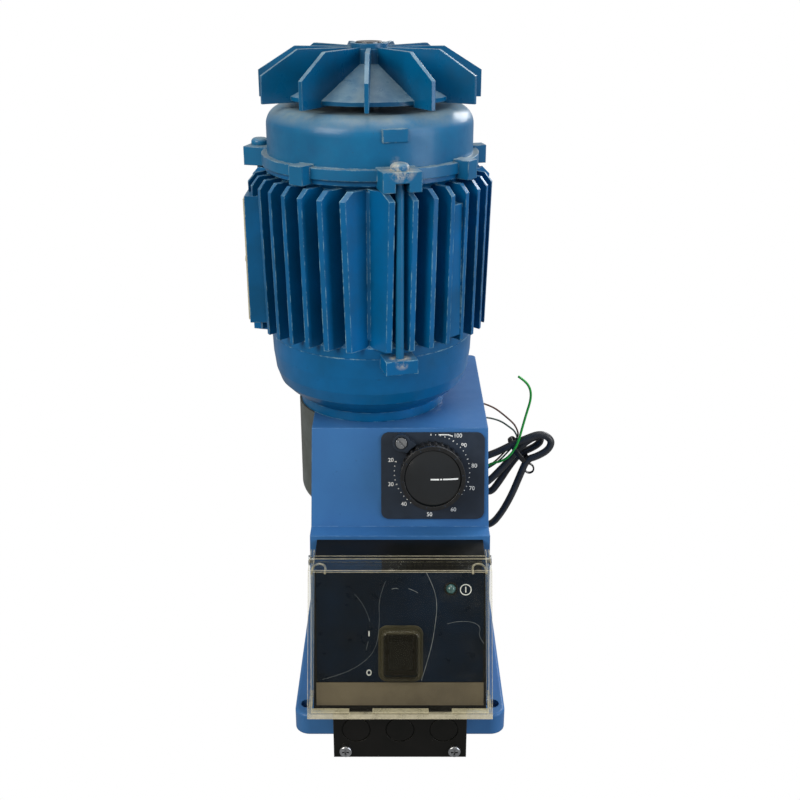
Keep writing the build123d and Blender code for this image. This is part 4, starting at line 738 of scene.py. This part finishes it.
DOTS_RADIUS, FIRST_VALUE, FIRST_ANGLE, DEGREES_PER_UNIT = 19.3, 20, 164, 3.6
strokes = []
for value in range(FIRST_VALUE, 101, 2):
    turn = radians(FIRST_ANGLE + (value - FIRST_VALUE) * DEGREES_PER_UNIT)
    direction = Vector((cos(turn), sin(turn)))
    half = 0.25 if value % 10 else 0.45
    middle = KNOB + direction * DOTS_RADIUS
    start, end = middle - direction * half, middle + direction * half
    strokes.append(bar(start, end, 0.42, PLATE + 0.01, PLATE + 0.06))
strokes.append(bar((19.7, -3.3), (24.6, -3.3), 0.6, PLATE + 0.01, PLATE + 0.07))
strokes.append(bar((24.5, -3.25), (26.9, -4.1), 0.6, PLATE + 0.01, PLATE + 0.07))
print("strokes", len(strokes))
place(settle(joined(strokes), "scale_dots", panel), print_white)

# %% [markdown]
# The knob's cap is domed, so its white line has to follow a sphere: the bars are divided along their
# length and every corner is lifted to the dome. The knob's rim carries darker strokes between its lobes.

# %% Line on the cap, strokes on the rim
CAP_RADIUS, DOME_HEIGHT, CAP_EDGE, RIM_TOP = 14.3, 2.4, 16.5, 17.5
LOBES = 30
knob_centre = panel @ Matrix.Translation((KNOB.x * MM, KNOB.y * MM, 0))
ends = ((-1.2, 3.0), (3.6, 4.5), (5.0, 12.6))
line = joined([bar((a, 0), (b, 0), 0.75, 0, 0.1) for a, b in ends])
settle(line, "knob_pointer_line")
long_edges = [
    (line.data.vertices[e.vertices[0]].co - line.data.vertices[e.vertices[1]].co).length > 1.5 * MM
    for e in line.data.edges
]
bpy.ops.object.mode_set(mode="EDIT")
bpy.ops.mesh.select_mode(type="EDGE")
bpy.ops.mesh.select_all(action="DESELECT")
bpy.ops.object.mode_set(mode="OBJECT")
line.data.edges.foreach_set("select", long_edges)
bpy.ops.object.mode_set(mode="EDIT")
bpy.ops.mesh.subdivide(number_cuts=6)
bpy.ops.mesh.select_mode(type="VERT")
bpy.ops.object.mode_set(mode="OBJECT")
sphere = (CAP_RADIUS ** 2 + DOME_HEIGHT ** 2) / (2 * DOME_HEIGHT)
for vertex in line.data.vertices:
    away = Vector((vertex.co.x, vertex.co.y)).length / MM
    dome = DOME_HEIGHT - sphere + sqrt(sphere ** 2 - away ** 2)
    vertex.co.z += (CAP_EDGE + dome + 0.01) * MM
settle(line, "knob_pointer_line", knob_centre)
place(line, print_white, "stroke_setting")

rim_strokes = []
for k in range(0, LOBES, 3):
    turn = 2 * pi * (k + 0.5) / LOBES
    out = Vector((cos(turn), sin(turn)))
    rim_strokes.append(bar(out * 14.7, out * 15.6, 0.5, RIM_TOP, RIM_TOP + 0.06))
rim = settle(joined(rim_strokes), "knob_rim_marks", knob_centre)
place(rim, plate_metal, "stroke_setting")
print("pointer", len(line.data.vertices), "corners; rim strokes", len(rim_strokes))

# %% [markdown]
# ## Control face
# Under the clear hood the film carries a power sign beside the lamp and I and O beside the rocker. The
# box's lower band is a separate taupe strip, and an olive frame clamps the rocker's boot.

# %% Signs on the film
INK_LOW, INK_HIGH = 0.01, 0.06
LAMP_SIGN_X, O_X, O_Y, O_STRETCH = 32.7, -15.6, -57.8, 1.25
power = joined([
    ring(LAMP_SIGN_X, -14.4, 2.9, 2.45, INK_LOW, INK_HIGH, 40),
    bar((LAMP_SIGN_X, -12.9), (LAMP_SIGN_X, -15.9), 0.5, INK_LOW, INK_HIGH),
])
place(settle(power, "power_sign", film), print_white)

round_o = ring(0, 0, 1.3, 0.85, INK_LOW, INK_HIGH, 32)
round_o.scale.y = O_STRETCH
round_o.location.x, round_o.location.y = O_X * MM, O_Y * MM
signs = joined([bar((-15.5, -35.9), (-15.5, -38.6), 0.55, INK_LOW, INK_HIGH), round_o])
place(settle(signs, "rocker_signs", film), print_white)

lamp_ring = settle(ring(25.3, -13.9, 3.3, 2.6, 0, 0.5, 40), "lamp_ring", film)
place(lamp_ring, black_plastic)
lower = bar((-42.2, -69.1), (42.2, -69.1), 12.2, INK_LOW, INK_HIGH)
place(settle(lower, "box_lower_band", film), taupe_plastic)
print("signs and band lie", INK_LOW, "mm above the film")

# %% [markdown]
# The boot's frame is the space between two rounded rectangles. Each is a plane whose corners are
# bevelled; their edges are bridged and the strip between them is drawn up.

# %% Frame of the boot
BOOT_MIDDLE = (0.35, -47.6)
FRAME_HEIGHT = 0.5


def rounded_rectangle(half_x, half_y, corner):
    """The edges of a rectangle with round corners, without a face."""
    bpy.ops.mesh.primitive_plane_add(size=2, location=(BOOT_MIDDLE[0] * MM, BOOT_MIDDLE[1] * MM, 0))
    obj = bpy.context.object
    obj.scale = (half_x * MM, half_y * MM, 1)
    bpy.ops.object.transform_apply(location=False, rotation=False, scale=True)
    bpy.ops.object.mode_set(mode="EDIT")
    bpy.ops.mesh.select_all(action="SELECT")
    bpy.ops.mesh.bevel(offset=corner * MM, segments=12, affect="VERTICES")
    bpy.ops.mesh.select_all(action="SELECT")
    bpy.ops.mesh.delete(type="ONLY_FACE")
    bpy.ops.object.mode_set(mode="OBJECT")
    return obj


frame_strip = joined([rounded_rectangle(9.6, 12.9, 3.2), rounded_rectangle(11.2, 14.6, 4.4)])
bpy.ops.object.mode_set(mode="EDIT")
bpy.ops.mesh.select_all(action="SELECT")
bpy.ops.mesh.bridge_edge_loops()
bpy.ops.object.mode_set(mode="OBJECT")
boot_frame = settle(raised(frame_strip, FRAME_HEIGHT), "boot_clamp_frame", film)
place(boot_frame, boot_olive)
print("boot frame", len(boot_frame.data.polygons), "faces")

# %% [markdown]
# ## Marks on the clear hood
# A hairline scratch is a thread much thinner than a millimetre, laid on the hood's face. The hood also
# has two bent clips under its roof. All of them swing up with the hood.

# %% Scratch the hood, add its clips
scratches = {
    "right": (0.13, [(12.8, -1.2), (16.2, -8), (18.2, -17), (17, -29), (15, -41), (10.5, -56)]),
    "left": (0.05, [
        (-7, -5.5), (-10.5, -14), (-9.8, -26), (-11.5, -40), (-19, -48), (-29, -53), (-38, -55.5),
    ]),
    "top": (0.12, [(-4, -9.5), (-2.5, -8.6), (-0.8, -9.3)]),
    "top_right": (0.12, [(4.2, -9.2), (6.5, -10), (8.6, -11.2)]),
    "side": (0.07, [(23, -27), (28, -25.5), (36, -26), (39.5, -29), (38, -33), (41, -37)]),
    "mid_left": (0.05, [(-22, -12), (-17, -17), (-14.6, -26)]),
    "low_left": (0.06, [(-15.5, -36), (-16.6, -40.5)]),
}
for name, (radius, spots) in scratches.items():
    points = [hood_face @ Vector((x * MM, y * MM, 0)) / MM for x, y in spots]
    place(cord_line("hood_scratch_" + name, points, radius), scratch_pale, "hood")

CLIP_RADIUS = 0.55
half_clip = [(3.2, -99.2, 104.3), (3.4, -92, 103.6), (1.2, -88.4, 103.2)]
for side, x in (("left", -39.6), ("right", 38.6)):
    bend = [(x - out, y, z) for out, y, z in half_clip]
    bend += [(x + out, y, z) for out, y, z in reversed(half_clip)]
    place(cord_line("hood_clip_" + side, bend, CLIP_RADIUS), clip_clear, "hood")
print("scratches", len(scratches), "and clips 2")

# %% [markdown]
# ## Background and light
# The camera and rays through the clear plastic see plain white. Reflections and soft light come from a
# dimmer sky, darker below, so that the paint doesn't look chalky. Four large lamps shape the castings.

# %% Build the world
world = bpy.data.worlds.new("studio")
bpy.context.scene.world = world
world.use_nodes = True
world.node_tree.nodes.clear()
add = partial(add_node, world.node_tree)
ray = add("ShaderNodeLightPath").outputs
generated = add("ShaderNodeTexCoord").outputs["Generated"]
turned = add("ShaderNodeMapping", {"Vector": generated, "Rotation": (0, radians(90), 0)})
slope = add("ShaderNodeTexGradient", {"Vector": turned.outputs[0]}).outputs["Fac"]
shade = add("ShaderNodeMapRange", {"Value": slope, "From Min": -1.0, "To Min": 0.25, "To Max": 0.5})
calm = add("ShaderNodeMapRange", {"Value": ray["Is Glossy Ray"], "To Min": 0.8, "To Max": 0.9})
dim = add("ShaderNodeBackground", {"Color": shade.outputs[0], "Strength": calm.outputs[0]})
white = add("ShaderNodeBackground", {"Color": (1, 1, 1, 1)})
either = add(
    "ShaderNodeMath", {0: ray["Is Camera Ray"], 1: ray["Is Transmission Ray"]}, operation="MAXIMUM"
)
mixed = add("ShaderNodeMixShader", {"Fac": either.outputs[0], 1: dim.outputs[0], 2: white.outputs[0]})
add("ShaderNodeOutputWorld", {"Surface": mixed.outputs[0]})
print("world nodes", len(world.node_tree.nodes))

# %% Place the lamps
AIM = Vector((0, 0, 0.2))
lamps = {
    "key_left": ((-0.9, -0.9, 0.9), 0.7, 0.7, 14, "fff8ee"),
    "fill_right": ((1.0, -0.6, 0.5), 0.6, 1.0, 9, "f2f6ff"),
    "top_soft": ((0, -0.1, 1.2), 0.8, 0.8, 4, "ffffff"),
    "rear_right": ((0.6, 0.7, 0.7), 0.5, 0.5, 7, "ffffff"),
}
for name, (spot, width, height, watts, colour) in lamps.items():
    data = bpy.data.lights.new(name, "AREA")
    data.shape = "RECTANGLE"
    data.size, data.size_y = width, height
    data.energy = watts
    data.color = linear(colour)[:3]
    lamp = bpy.data.objects.new(name, data)
    bpy.context.collection.objects.link(lamp)
    lamp.location = spot
    lamp.rotation_euler = (AIM - Vector(spot)).to_track_quat("-Z", "Y").to_euler()
print("lamps", len(lamps))

# %% [markdown]
# ## Finish
# Standard keeps the colours as they were chosen.

# %% Finish
bpy.context.scene.view_settings.view_transform = "Standard"
